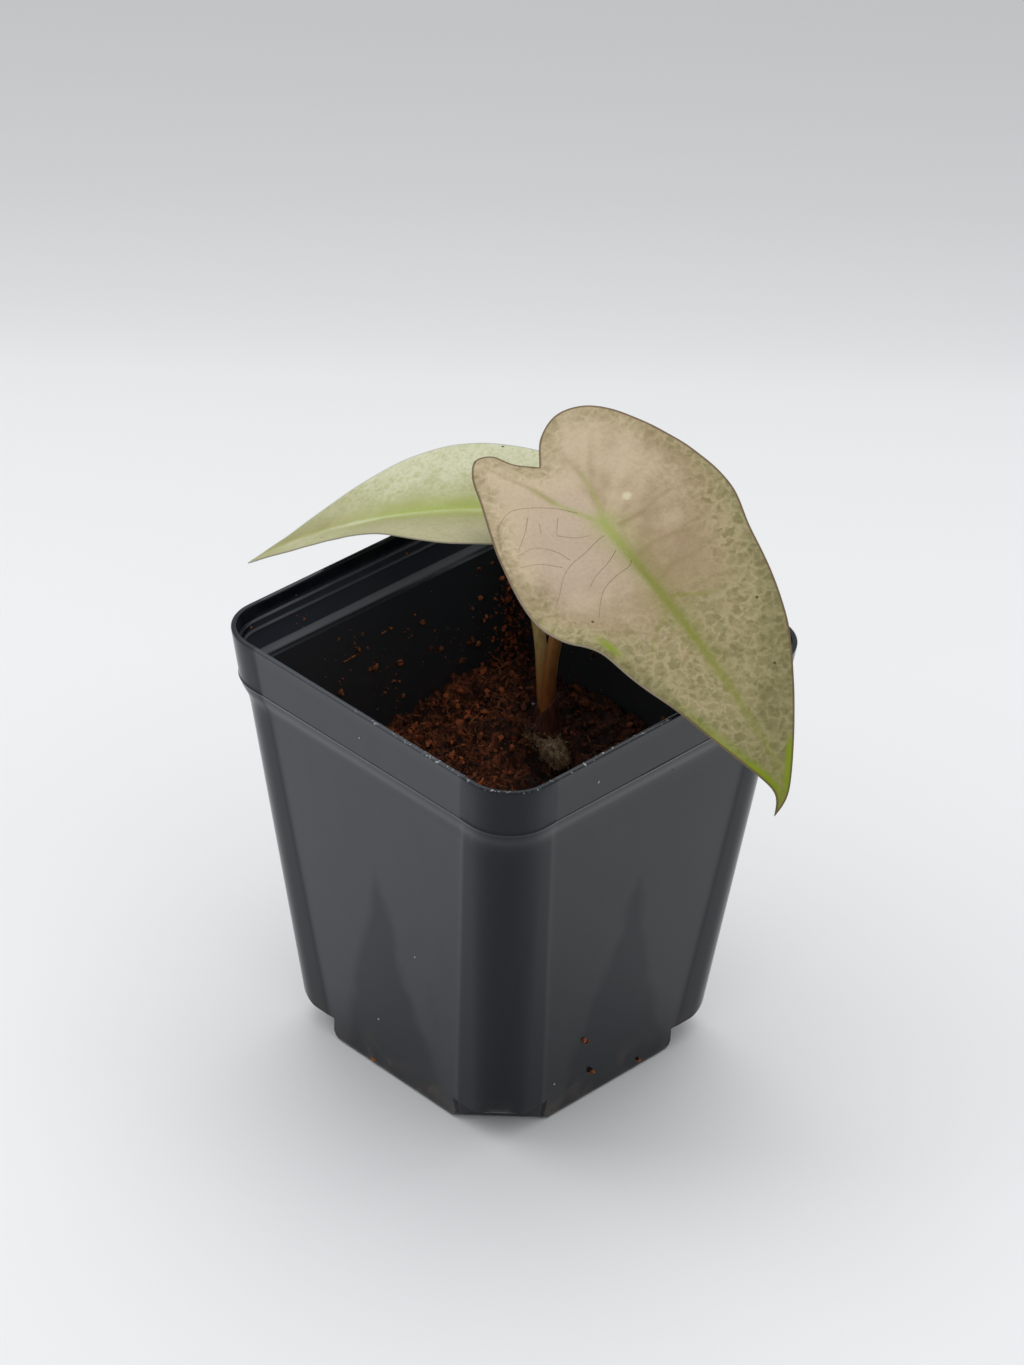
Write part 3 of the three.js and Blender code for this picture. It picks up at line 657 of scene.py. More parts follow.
def pot_material():
    shader = Shader("pot_plastic")
    at = shader.place()
    x, y, z = at.split()
    streak = at.vector("MULTIPLY", (1, 1, 0.25)).noise(3.2, 4, 0.6)
    colour = mix(at.noise(14), (8, 13, 19), (13, 18, 24))
    colour = mix(streak.ramp(0.45, 0.8, 0, 0.25), colour, (34, 37, 41))
    base, ax, ay = POT_BASE_WIDTH / 2, abs(x), abs(y)
    # Painted light: the -Y face is painted lighter, as lit more from its side
    lit_face = y.ramp(0.6 - base, -1.4 - base) * streak.ramp(0.2, 0.6, 0.75, 1.0)
    colour = mix(lit_face, colour, (37, 42, 49))
    # Painted shade and painted dark reflections on the corners, the shoulder and a wedge low on the two front
    # faces
    taper = (BODY_TOP_WIDTH - POT_BASE_WIDTH) / 2 / BODY_TOP_Z
    corner = (ax.least(ay) - z * taper).ramp(base - CORNER_ZONE - 0.5, base - CORNER_ZONE + 0.5)
    corner = corner * abs(ax - ay).ramp(8.5, 2.5, 0.78, 0.9)
    front = at.along(0.7, -0.7)
    width = ax.least(ay) + (z - 43) * 0.29 + at.noise(9, 2) * 6
    dark_reflection_wedge = width.ramp(4.8, 1.6, 0, 0.6) * front.ramp(4, 9)
    shoulder = z.ramp(BODY_TOP_Z - 2.9, BODY_TOP_Z + 0.1)
    shoulder = shoulder * z.ramp(BAND_BOTTOM_Z, BAND_BOTTOM_Z - 0.3, 0, 0.55)
    shade = corner.most(dark_reflection_wedge).most(shoulder)
    colour = mix(shade, colour, (15, 20, 26))
    # Brown dust round the foot
    dust = z.ramp(10, 0.5) * at.noise(5, 4, 0.6).ramp(0.38, 0.75, 0, 0.6)
    colour = mix(dust, colour, (82, 68, 56))
    # The cut under each corner is in shadow
    under = (ax.most(ay) - z * taper).ramp(base - 0.3, base - 1.4)
    colour = mix(under * z.ramp(CORNER_LIFT + 0.4, CORNER_LIFT - 0.2, 0, 0.85), colour, (9, 9, 10))
    # Inside, below the ledge, the wall is lighter grey, brown near the coir. The distance from a box tells
    # inside from outside
    slope = (TOP_CORNER_RADIUS - BASE_CORNER_RADIUS) / POT_HEIGHT
    core = z * (taper - slope) + (base - BASE_CORNER_RADIUS)
    away = at.beyond(shader.node("CombineXYZ", {0: core, 1: core, 2: FAR})) - z * slope
    wall = away.ramp(BASE_CORNER_RADIUS - 0.35, BASE_CORNER_RADIUS - 0.55)
    wall = wall * z.ramp(LEDGE_BOTTOM_Z + 0.5, LEDGE_BOTTOM_Z + 0.2)
    brown = z.ramp(64, 48) * at.noise(2.4, 4, 0.65).ramp(0.5, 0.75, 0, 0.5)
    colour = mix(wall, colour, mix(brown, (50, 52, 55), (76, 50, 38)))
    # Painted light: pale grey on the ledge and the two ribs inside the rim, blue-grey reflection above the
    # ledge
    away = at.beyond((RIM_CORE, RIM_CORE, FAR))
    lit_ledge = z.ramp(LEDGE_BOTTOM_Z + 0.4, LEDGE_BOTTOM_Z + 0.9) * z.ramp(LEDGE_TOP_Z + 0.2, LEDGE_TOP_Z - 0.1)
    high, low = [abs(z - (level + 0.1)).ramp(0.3, 0.12) for level in RIB_LEVELS]
    inside = (lit_ledge * away.ramp(8.2, 8.0)).most(high.most(low) * away.ramp(8.55, 8.3, 0, 0.25))
    above = z.ramp(LEDGE_TOP_Z - 0.1, LEDGE_TOP_Z + 0.2) * away.ramp(8.55, 8.3)
    colour = mix(above, colour, (50, 54, 60))
    colour = mix(inside, colour, (104, 107, 111))
    # Scuffs along the rim at the front corner, painted as white glints
    scuff_glint = z.ramp(POT_HEIGHT - 0.4, POT_HEIGHT - 0.15) * front.ramp(18, 36)
    scuff_glint = scuff_glint * at.noise(0.8, 4, 0.7).ramp(0.575, 0.66)
    colour = mix(scuff_glint, colour, (156, 157, 158))
    shader.bump(at.noise(0.35, 2) * 0.2 + at.noise(2.6, 2), 0.04, 0.12)
    # Less specular where the shade and dark reflections are painted
    return shader.cover(colour, streak * 0.12 + 0.12 + inside * 0.3, shade * -0.21 + 0.40)


# Coir

def coir_height(x, y):
    height = COIR_LEVEL + BACK_RISE * y
    for spot in (MOUND, HOLLOW):
        away = (x - spot["x"]) ** 2 + (y - spot["y"]) ** 2
        height = height + spot["height"] * np.exp(-away / spot["radius"] ** 2)
    coarse = np.sin(0.55 * x + 1.3 * np.sin(0.31 * y)) * np.sin(0.62 * y + 1.1 * np.sin(0.27 * x))
    fine = np.sin(1.35 * x + 2 * np.sin(0.7 * y)) * np.sin(1.5 * y - 1.7 * np.sin(0.8 * x))
    return height + LUMP_HEIGHT * (coarse + fine)


def rounded_square(u, v, half, radius):
    """Maps a square grid, -1 to 1, onto a square with round corners."""
    m = np.maximum(np.maximum(np.abs(u), np.abs(v)), 1e-9)
    x, y = u * half, v * half
    flat = m * (half - radius)
    dx, dy = np.abs(x) - flat, np.abs(y) - flat
    corner = (dx > 0) & (dy > 0)
    length = np.maximum(np.hypot(dx, dy), 1e-9)
    pull = np.where(corner, np.maximum(dx, dy) / length, 1)
    x = np.where(corner, np.sign(x) * (flat + dx * pull), x)
    y = np.where(corner, np.sign(y) * (flat + dy * pull), y)
    return x, y


def coir_surface(x, y):
    """Height of the fine, crumbly coir surface."""
    flat = np.stack([x, y, np.zeros_like(x)], axis=1)
    heap = waves(flat, 8.5, 7, 2)
    clump = waves(flat, 4.2, 1, 2)
    crumb_lift = np.abs(waves(flat, 2.1, 2, 3))
    pit = np.clip(-waves(flat, 3.0, 3, 2) - 0.1, 0, 1)
    trench = distance_to_line(flat[:, :2], CORM_TRENCH)[0]
    height = coir_height(x, y) + 1.5 * heap + 0.9 * clump + 1.3 * crumb_lift - 2.6 * pit - 0.3
    return height - 1.7 * np.exp(-(trench / 2.3) ** 2)


def coir_grid(u, v, z, inset=0.0):
    """Places of a square grid on the outline of the coir at a height."""
    gap = WALL + GAP + inset
    return rounded_square(u, v, body_half(z) - gap, corner_radius(z) - gap)


def add_coir():
    half = body_half(COIR_LEVEL) - WALL - GAP + COIR_SWELL
    n = int(round(2 * half / COIR_CELL))
    u, v = [grid.ravel() for grid in np.meshgrid(*[np.linspace(-1, 1, n + 1)] * 2, indexing="ij")]
    x, y = rounded_square(u, v, half, corner_radius(COIR_LEVEL) - WALL - GAP)
    flat = np.stack([x, y, coir_surface(x, y)], axis=1)
    side = ease(0.93, 1.0, np.maximum(np.abs(u), np.abs(v)))
    nudge = np.stack([waves(flat, 0.8, 5, 2), waves(flat, 0.8, 6, 2), np.zeros(len(x))], axis=1)
    points = [flat + nudge * 0.25 * (1 - side)[:, None]]
    grid = np.arange(len(x)).reshape(n + 1, n + 1)
    faces = grid_quads(grid).tolist()
    # Walls down to the bottom
    rim = upper = np.concatenate([grid[:-1, 0], grid[-1, :-1], grid[:0:-1, -1], grid[0, :0:-1]])
    for k, z in enumerate((30, 15, COIR_BOTTOM)):
        points.append(np.column_stack([*coir_grid(u[rim], v[rim], z), np.full(len(rim), z)]))
        lower = np.arange(len(rim)) + len(x) + k * len(rim)
        faces += np.stack([upper, lower, np.roll(lower, -1), np.roll(upper, -1)], axis=1).tolist()
        upper = lower
    points = np.vstack([*points, [0, 0, COIR_BOTTOM]])
    faces += [[len(points) - 1, b, a] for a, b in zip(upper, np.roll(upper, -1))]
    mesh_piece("coir_bed", points, faces, coir_material(), "coir", "coir")


def coir_material():
    shader = Shader("coir")
    at = shader.place()
    clump = at.noise(3.6, 3, 0.6)
    grain = at.noise(0.8, 4, 0.7)
    strand = at.noise(0.35, 2, 0.5, 2.0)
    colour = mix(grain.ramp(0.36, 0.64), (18, 8, 5), (160, 86, 52))
    colour = mix(clump.ramp(0.44, 0.6, 0, 0.85), colour, (24, 10, 6))
    colour = mix(strand.ramp(0.6, 0.76, 0, 0.6), colour, (210, 128, 82))
    # Painted shade: darker on one side
    painted_shade = at.along(*COIR_SHADE_WAY).ramp(-5, 5) * clump.ramp(0.3, 0.6, 0.6, 0.85)
    shader.bump(grain + strand * 0.5, 0.7, 1.0)
    return shader.cover(mix(painted_shade, colour, COIR_SHADE), 0.8, 0.3)


# Crumbs and fibres

def ball_faces():
    """Points and faces of a ball cut into 80 triangles."""
    golden = (1 + math.sqrt(5)) / 2
    corners = [(0, a, b * golden) for a in (-1, 1) for b in (-1, 1)]
    corners += [(b, 0, a) for _, a, b in corners] + [(a, b, 0) for _, a, b in corners]
    points = unit(np.array(corners, float))
    near = 1.1 / math.sin(math.radians(72))
    faces = []
    for trio in combinations(range(12), 3):
        a, b, c = points[list(trio)]
        if np.linalg.norm([a - b, b - c, c - a], axis=1).max() < near:
            faces.append(trio if np.dot(np.cross(b - a, c - a), a) > 0 else (trio[0], trio[2], trio[1]))
    middle = {}
    points = points.tolist()
    fine = []
    for a, b, c in faces:
        mids = []
        for p, q in ((a, b), (b, c), (c, a)):
            key = (min(p, q), max(p, q))
            if key not in middle:
                points.append(unit(np.add(points[p], points[q])).tolist())
                middle[key] = len(points) - 1
            mids.append(middle[key])
        ab, bc, ca = mids
        fine += [[a, ab, ca], [b, bc, ab], [c, ca, bc], [ab, bc, ca]]
    return np.array(points), fine


BALL = ball_faces()


def crumb(rng, place, size):
    """An irregular crumb round a place."""
    points, faces = BALL
    turn, _ = np.linalg.qr(rng.normal(size=(3, 3)))
    if np.linalg.det(turn) < 0:
        turn = -turn
    scale = size * rng.uniform((0.6, 0.5, 0.4), (1.3, 1.0, 0.8))
    lumps = 1 + 0.32 * np.sin(points @ rng.normal(size=(3, 3)) * 2.4 + rng.uniform(0, 6, 3)).prod(axis=1)
    lumps = lumps * rng.uniform(0.66, 1.24, len(points))
    return (points * lumps[:, None] * scale) @ turn.T + place, faces


def fibre(rng, place, length, radius, lift=0.3, heading=None, curl=0.35):
    """A thin curved thread at a place, tapered at both ends."""
    steps = 7
    turn = rng.uniform(0, 2 * math.pi) if heading is None else heading
    rise = rng.normal(0, lift)
    bend = rng.normal(0, curl, 2)
    turns = turn + bend[0] * np.arange(steps)
    rises = rise + bend[1] * 0.6 * np.arange(steps)
    ways = np.stack([np.cos(turns) * np.cos(rises), np.sin(turns) * np.cos(rises), np.sin(rises)], axis=1)
    line = np.vstack([np.zeros(3), np.cumsum(ways, axis=0)]) * length / steps
    line = line + place - line.mean(axis=0) * 0.5
    forward = unit(np.gradient(line, axis=0))
    side = unit(np.cross(forward, [0.13, 0.21, 0.97]))
    over = np.cross(forward, side)
    taper = radius * (0.35 + 0.65 * np.sin(math.pi * (np.arange(steps + 1) + 0.4) / (steps + 0.8)))
    return loft([circle(*row, 5) for row in zip(line, taper, side, over)])


def bed_places(rng, count, inset=1.2):
    """Random places on the coir, mostly on its visible surface."""
    u, v = rng.uniform(-1, 1, count), rng.uniform(-1, 1, count)
    x, y = coir_grid(u, v, COIR_LEVEL, inset)
    return np.stack([x, y, coir_surface(x, y)], axis=1)


def litter_material(name, dark, light, pale, painted_shade=0.0):
    shader = Shader(name)
    at = shader.place()
    grain = at.noise(0.3, 3, 0.6)
    colour = mix(at.cells(0.9, "Color").split()[0].ramp(0.2, 1.0), dark, light)
    colour = mix(grain.ramp(0.5, 0.78, 0, 0.6), colour, pale)
    # Painted shade towards one side, as on the coir bed
    colour = mix(at.along(*COIR_SHADE_WAY).ramp(-5, 5, 0, painted_shade), colour, COIR_SHADE)
    shader.bump(grain, 0.25, 0.8)
    return shader.cover(colour, 0.85, 0.2)


def wall_place(wall, along, z, sink):
    """A place on an inside wall, counted from the +X wall round to the left."""
    half = (body_half(z) if z < BODY_TOP_Z else band_half(max(z, BAND_BOTTOM_Z))) - WALL
    return np.array([*spun(half - sink, along, 90 * wall), z])


def add_bed_litter(rng, look):
    parts = []
    for place in bed_places(rng, LITTER["crumbs"]):
        size = 0.16 + rng.uniform() ** 4
        parts.append(crumb(rng, place + [0, 0, size * 0.35], size))
    mesh_piece("coir_crumbs", *fuse(parts), look, "coir")

    parts = []
    for place in bed_places(rng, LITTER["fibres"], 2.5):
        parts.append(fibre(rng, place + [0, 0, 0.35], rng.uniform(1.0, 4.6), rng.uniform(0.05, 0.13)))
    look = litter_material("coir_fibre", (84, 42, 24), (172, 106, 64), (214, 154, 104), 0.5)
    mesh_piece("coir_fibres", *fuse(parts), look, "coir")


def wall_litter(rng):
    """Crumbs that stick to the inside walls: a thin scatter and clusters."""
    parts = []
    for _ in range(LITTER["wall"]):
        z = COIR_LEVEL + 0.5 + rng.uniform() ** 1.8 * (POT_HEIGHT - COIR_LEVEL - 2)
        if z > BODY_TOP_Z and rng.uniform() < 0.6:
            continue
        along = rng.uniform(-1, 1)
        along = np.sign(along) * abs(along) ** 0.7 * (body_half(z) - 6)
        size = 0.1 + 0.5 * rng.uniform() ** 4
        parts.append(crumb(rng, wall_place(rng.integers(4), along, z, size * 0.3), size))
    for wall, along, z, spread, count in WALL_CLUSTERS:
        for _ in range(count):
            size = 0.14 + 0.7 * rng.uniform() ** 3
            slip, rise = rng.normal(0, spread * 1.6, 2)
            parts.append(crumb(rng, wall_place(wall, along + slip, z + rise, size * 0.2), size))
    return parts


def add_corner_heap(rng, look):
    parts = []
    for _ in range(LITTER["heap"]):
        rise = rng.uniform() ** 1.4
        z = COIR_LEVEL + 1.5 + 23 * rise
        size = 0.12 + 0.42 * rng.uniform() ** 2.4
        reach = body_half(z) - WALL - corner_radius(z) * 0.32
        slip = rng.normal(0, 2.4 * (1 - rise) + 0.8)
        parts.append(crumb(rng, (-reach + max(slip, 0), reach + min(slip, 0), z), size))
    mesh_piece("corner_heap", *fuse(parts), look, "coir")


def add_litter():
    rng = np.random.default_rng(11)
    look = litter_material("coir_crumb", (28, 13, 7), (186, 100, 58), (222, 146, 100), 0.75)
    add_bed_litter(rng, look)
    parts = wall_litter(rng)
    add_corner_heap(rng, look)
    # Threads on the wall, each with a bit at its end
    for along, z, length in WALL_THREADS:
        at = wall_place(2, along, z, 0.2)
        parts.append(fibre(rng, at, length, 0.17, 0.1, math.pi / 2, 0.03))
        parts.append(crumb(rng, at + [0.1, length * 0.5, 0.3], 0.4))
    for wall, along, z, size in OUTSIDE_BITS:
        at = wall_place(wall, along, z, -WALL - size * 0.2)
        for _ in range(3):
            parts.append(crumb(rng, at + rng.normal(0, size * 0.5, 3) * [1, 1, 0.7], size))
    look = litter_material("wall_crumb", (64, 34, 20), (168, 98, 58), (214, 146, 96))
    mesh_piece("wall_crumbs", *fuse(parts), look, "coir")
    grit = [crumb(rng, wall_place(wall, along, z, -WALL), 0.26) for wall, along, z in PALE_GRIT]
    grit.append(crumb(rng, PALE_BEAD, 0.34))
    look = litter_material("pale_grit", (150, 148, 142), (200, 198, 192), (230, 230, 226))
    mesh_piece("pale_grit", *fuse(grit), look, "coir")


# Corm

def add_corm():
    top, bottom = np.array(CORM["top"]), np.array(CORM["bottom"])
    axis = unit(top - bottom)
    side = unit(np.cross(axis, [0, 1, 0]))
    over = np.cross(side, axis)
    middle, reach = (top + bottom) / 2, np.linalg.norm(top - bottom) / 2
    rings = []
    for k in range(41):
        c, s = turned(180 * (k + 0.35) / 41.7)
        rings.append(circle(middle - axis * reach * c, CORM["radius"] * s, side, over, 48))
    points, faces = loft(rings)
    swell = np.minimum(1 + 0.05 * waves(points, 1.8, 9, 3), 1.03)
    points = middle + (points - middle) * swell[:, None]
    shader = Shader("corm")
    at = shader.place()
    fine = at.noise(0.3, 3, 0.6)
    colour = mix(fine.ramp(0.3, 0.7), (140, 112, 80), (206, 186, 154))
    colour = mix(at.noise(1.1, 4, 0.65).ramp(0.42, 0.62, 0, 0.9), colour, (70, 42, 26))
    shader.bump(fine, 0.3, 0.6)
    mesh_piece("corm", points, faces, shader.cover(colour, 0.6, 0.4), "corm", "corm_and_roots")


def add_corm_fuzz():
    """Fine pale and brown hairs on the corm and round the foot of the bract."""
    rng = np.random.default_rng(5)
    top, bottom = np.array(CORM["top"]) + [-0.6, -0.9, 1.3], np.array(CORM["bottom"])
    axis = unit(bottom - top)
    side = unit(np.cross(axis, [0, 0, 1.0]))
    over = np.cross(side, axis)
    parts = []
    for _ in range(LITTER["hairs"]):
        t = rng.uniform(0.08, 1)
        angle = rng.uniform(-0.6, math.pi + 0.6)
        reach = 0.25 + CORM["radius"] * math.sqrt(max(1 - (2 * min(max(t, 0.3), 0.97) - 1) ** 2, 0.05))
        place = top + (bottom - top) * t + reach * (math.cos(angle) * side + math.sin(angle) * over)
        heading = math.atan2(axis[1], axis[0]) + rng.normal(0, 0.8)
        parts.append(fibre(rng, place, rng.uniform(0.7, 2.6), rng.uniform(0.025, 0.055), 0.5, heading))
    look = litter_material("corm_hair", (92, 60, 38), (176, 142, 104), (222, 204, 172))
    mesh_piece("corm_hairs", *fuse(parts), look, "corm")


# Stalks

def add_stalk(node, petiole, cut_end, low, middle, high, sides=28, steps=90):
    """Tube along a petiole with fine grooves, and tones for its foot, middle and head."""
    line = spaced(through(petiole["path"], 400), steps, cut_end)
    forward = unit(np.gradient(line, axis=0))
    side = unit(np.cross(forward, [0, 1, 0]))
    over = np.cross(forward, side)
    shares = np.linspace(0, 1, steps)
    angles = np.arange(sides)[:, None] * 2 * math.pi / sides
    foot, head = petiole["radii"]
    rings = []
    for k, share in enumerate(shares):
        grooves = 1 + 0.018 * np.cos(9 * angles + 1.5 * share) + 0.012 * np.cos(14 * angles)
        rings.append(circle(line[k], (foot + (head - foot) * share) * grooves, side[k], over[k], sides))
    shader = Shader(node)
    share, streak = shader.attribute("share"), shader.long_streak(0.45, 3)
    colour = mix(share.ramp(0.15, 0.5), low, middle)
    colour = mix(share.ramp(0.5, 0.95), colour, high)
    colour = mix(streak.ramp(0.42, 0.72, 0, 0.7), colour, mix(0.5, colour, (60, 34, 18)))
    shader.bump(streak, 0.12, 0.5)
    shares = {"share": np.concatenate([np.repeat(shares, sides), [0, 1]])}
    mesh_piece(node + "_stalk", *loft(rings), shader.cover(colour, 0.38, 0.5), "stalk", node, shares)


def add_sheath():
    paths = [through(petiole["path"], 300) for petiole in (PETIOLE_FRONT, PETIOLE_BACK)]
    thick, thin = PETIOLE_FRONT["radii"][0], PETIOLE_BACK["radii"][0]
    cut = np.array(SHEATH["cut_through"])
    c, s = turned(SHEATH["slant"])
    normal = np.array([-s * math.sqrt(0.5), -s * math.sqrt(0.5), c])
    foot = SHEATH["foot_z"] - 0.6
    angles = np.arange(72) * 2 * math.pi / 72
    ways = np.stack([np.cos(angles), np.sin(angles)], axis=1)

    def outline(z, grow):
        """Places round both stalks, one in each direction, each at its own height."""
        a, b = [np.stack([np.interp(z, path[:, 2], path[:, k]) for k in (0, 1)], axis=1) for path in paths]
        middle = (a + b) / 2
        reach = np.zeros(len(z))
        for t in np.linspace(0, 1, 25):
            centre = a + (b - a) * t - middle
            along = (ways * centre).sum(axis=1)
            inside = (thick + (thin - thick) * t + grow) ** 2 - (centre ** 2).sum(axis=1) + along ** 2
            reach = np.maximum(reach, along + np.sqrt(np.maximum(inside, 0)))
        return np.column_stack([middle + ways * reach[:, None], z])

    def ring(share, grow, top_drop=0.0):
        low, high = np.full(72, foot), np.full(72, 66.0)
        for _ in range(18):
            z = (low + high) / 2
            above = (outline(z, grow) - cut) @ normal > 0
            low, high = np.where(above, low, z), np.where(above, z, high)
        z = foot + share * (low - top_drop - foot)
        return outline(z, grow + 0.05 * np.cos(18 * angles) * (1 - share * 0.5))

    shares = np.linspace(0, 1, 16)
    around = GAP + SHEATH["thickness"]
    rings = [ring(t, around - (around - 0.27) * t ** 2.5 + 0.2 * (1 - t) ** 2) for t in shares]
    rings += [ring(t, GAP * 0.5, 0.06) for t in shares[::-1]]
    shader = Shader("sheath")
    streak = shader.long_streak(0.4, 4)
    colour = mix(streak.ramp(0.3, 0.72), (42, 18, 14), (98, 52, 40))
    colour = mix(shader.place().noise(1.6).ramp(0.5, 0.7, 0, 0.6), colour, (46, 24, 18))
    shader.bump(streak, 0.2, 0.7)
    mesh_piece("sheath_bract", *loft(rings), shader.cover(colour, 0.55, 0.4), "sheath", "sheath")


# Blades

class Sheet:
    """The bent sheet of a blade: gives places and normals of points [s, w]."""

    def __init__(self, blade):
        self.blade = blade
        bends = ("heading", "pitch", "roll", "fold_right", "fold_left")
        self.curves = {key: hermite(blade[key]) for key in bends}
        self.tip = blade["right"][-1][0]
        step = 0.05
        self.at = np.arange(-30, 72 + step, step)
        middles = self.along((self.at[:-1] + self.at[1:]) / 2) * step
        run = np.vstack([np.zeros(3), np.cumsum(middles, axis=0)])
        zero = np.array([np.interp(0, self.at, run[:, k]) for k in range(3)])
        self.midrib = run - zero + np.array(blade["base"])

    def along(self, s):
        turn, rise = np.radians(self.curves["heading"](s)), np.radians(self.curves["pitch"](s))
        return np.stack([np.cos(turn) * np.cos(rise), np.sin(turn) * np.cos(rise), np.sin(rise)], axis=-1)

    def place(self, s, w):
        forward = self.along(s)
        turn, roll = np.radians(self.curves["heading"](s)), np.radians(self.curves["roll"](s))[:, None]
        level = np.stack([-np.sin(turn), np.cos(turn), np.zeros_like(turn)], axis=-1)
        across = level * np.cos(roll) + np.cross(forward, level) * np.sin(roll)
        up = np.cross(forward, across)
        fold = np.radians(np.where(w > 0, self.curves["fold_right"](s), self.curves["fold_left"](s)))
        lift = np.tan(fold) * w * w / (np.abs(w) + FOLD_ROUNDING)
        middle = np.stack([np.interp(s, self.at, self.midrib[:, k]) for k in range(3)], axis=-1)
        return middle + across * w[:, None] + up * lift[:, None]

    def normal(self, s, w):
        reach = 0.2
        forward = self.place(s + reach, w) - self.place(s - reach, w)
        across = self.place(s, w + reach) - self.place(s, w - reach)
        return unit(np.cross(forward, across))

    def shift(self, s):
        share = np.maximum(0, (s - self.tip) / TIP_LENGTH + 1)
        return self.blade["tip_shift"] * share ** 2


def half_rays(outline, sheet):
    """Starts and ends of the rays of one half, as in the solid blade but finer."""
    margin = through(outline, 3000)
    split = len(margin) - 1
    while margin[split - 1, 0] > FAN_LEAD:
        split -= 1
    starts, ends = [], []
    for i in range(FAN_RAYS):
        starts.append((0.0, 0.0))
        ends.append(margin[round(i * split / FAN_RAYS)])
    for i in range(SIDE_RAYS + 1):
        start = sheet.tip * i / SIDE_RAYS
        reach = FAN_LEAD + start * (sheet.tip - FAN_LEAD) / sheet.tip
        at = split + int(np.searchsorted(margin[split:, 0], reach))
        starts.append((start, float(sheet.shift(np.array(start)))))
        ends.append(margin[min(at, len(margin) - 1)])
    return np.array(starts), np.array(ends), margin


def blade_grid(sheet):
    """Flat points [s, w] of the whole blade, its faces and its margin."""
    flats, quads, margins = [], [], []
    start_at = 0
    for side, outline in ((1, sheet.blade["right"]), (-1, sheet.blade["left"])):
        starts, ends, margin = half_rays(outline, sheet)
        margins.append(margin)
        share = 1 - (1 - np.linspace(0, 1, BLADE_STEPS + 1)) ** 1.25
        flat = starts[:, None] + (ends - starts)[:, None] * share[None, :, None]
        index = np.arange(flat.shape[0] * flat.shape[1]).reshape(flat.shape[:2]) + start_at
        quad = grid_quads(index)
        quads.append(quad if side > 0 else quad[:, ::-1])
        flats.append(flat.reshape(-1, 2))
        start_at += flat.shape[0] * flat.shape[1]
    flat = np.vstack(flats)
    _, first, which = np.unique(np.round(flat, 4), axis=0, return_index=True, return_inverse=True)
    which = which.ravel()
    faces = []
    for quad in which[np.vstack(quads)].tolist():
        corners = [v for i, v in enumerate(quad) if v != quad[i - 1]]
        if len(corners) > 2:
            faces.append(corners)
    outline = np.vstack([margins[0], margins[1][::-1]])
    return flat[first], faces, outline


def margin_distance(flat, outline):
    line = outline[::6]
    return distance_to_line(flat, np.vstack([line, line[:1]]))[0]


def open_edge(faces):
    """Directed edges that only one face uses."""
    used = dict.fromkeys((face[i - 1], face[i]) for face in faces for i in range(len(face)))
    return [(a, b) for a, b in used if (b, a) not in used]


def vein_mask(flat, veins):
    mask = np.zeros(len(flat))
    for width, strength, line in veins:
        d, along = distance_to_line(flat, through(line, 40))
        width = width * (1.15 - 0.5 * along)
        mask = np.maximum(mask, strength * (1 - 0.55 * along) * np.exp(-(d / width) ** 2))
    return mask


def relief(flat, edge, sheet, wavy):
    """How far the upper side stands above the sheet's middle and the lower side below it."""
    s, w = flat[:, 0], flat[:, 1]
    taper = MARGIN_HALF + (BLADE_HALF - MARGIN_HALF) * ease(0, 1.6, edge)
    aside = (w - sheet.shift(s)) / MIDRIB_HALF_WIDTH
    fade = np.where(s < 0, np.exp(-(s / 3) ** 2), 1 - np.clip(s / sheet.tip, 0, 1) ** 2)
    rib = fade * np.exp(-aside ** 2)
    swell = 0.09 * np.sin(s * 0.62 + np.abs(w) * 0.35) * ease(1, 5, np.abs(w)) * ease(0.5, 4, edge)
    ripple = wavy * np.sin(s * 0.9 + 2 * np.sin(w * 0.3)) * ease(3, 0.3, edge)
    return taper + swell + ripple - 0.14 * rib, taper - swell - ripple + MIDRIB_DEPTH * rib


def hairline(sheet, outline, line, wavy, width=0.2, depth=0.1):
    """A thin closed thread that lies on the blade's upper side, as points, faces and flat places."""
    flat = through(line, max(8, len(line) * 9))
    ahead = unit(np.gradient(flat, axis=0))
    side = np.stack([-ahead[:, 1], ahead[:, 0]], axis=1)
    side = side * (width / 2 * (1 - 0.6 * np.linspace(0, 1, len(flat))))[:, None]
    flats = np.stack([flat + side, flat, flat - side, flat], axis=1).reshape(-1, 2)
    lift = np.tile([-0.015, 0.03, -0.015, -depth], len(flat))
    lift = lift + relief(flats, margin_distance(flats, outline), sheet, wavy)[0]
    places = sheet.place(*flats.T) + sheet.normal(*flats.T) * lift[:, None]
    points, faces = loft(places.reshape(-1, 4, 3))
    return points, faces, np.vstack([flats, flat[:1], flat[-1:]])


def add_blade(name, blade, paint, look, wavy, hairlines=()):
    sheet = Sheet(blade)
    flat, faces, outline = blade_grid(sheet)
    edge = margin_distance(flat, outline)
    place, normal = sheet.place(*flat.T), sheet.normal(*flat.T)
    top, bottom = relief(flat, edge, sheet, wavy)
    count = len(flat)
    points = [place + normal * top[:, None], place - normal * bottom[:, None]]
    # Rows of s, w, distance to the margin, underside and hairline
    rows = [np.column_stack([flat, edge, np.full(count, under), np.zeros(count)]) for under in (0, 1)]
    all_faces = faces + [[v + count for v in face[::-1]] for face in faces]
    all_faces += [[a + count, b + count, b, a] for a, b in open_edge(faces)]
    for line in hairlines:
        start = sum(map(len, points))
        thread, thread_faces, places = hairline(sheet, outline, line, wavy)
        all_faces += [[v + start for v in face] for face in thread_faces]
        points.append(thread)
        rows.append(np.column_stack([places, np.tile([5.0, 0, 1], (len(thread), 1))]))
    rows = np.vstack(rows)
    masks = paint(rows[:, :2], rows[:, 2], sheet)
    masks.update({"sheet": rows[:, :3], "under": rows[:, 3], "ink": rows[:, 4]})
    material = blade_material(look)
    mesh_piece(name + "_leaf", np.vstack(points), all_faces, material, look["name"], name, masks)


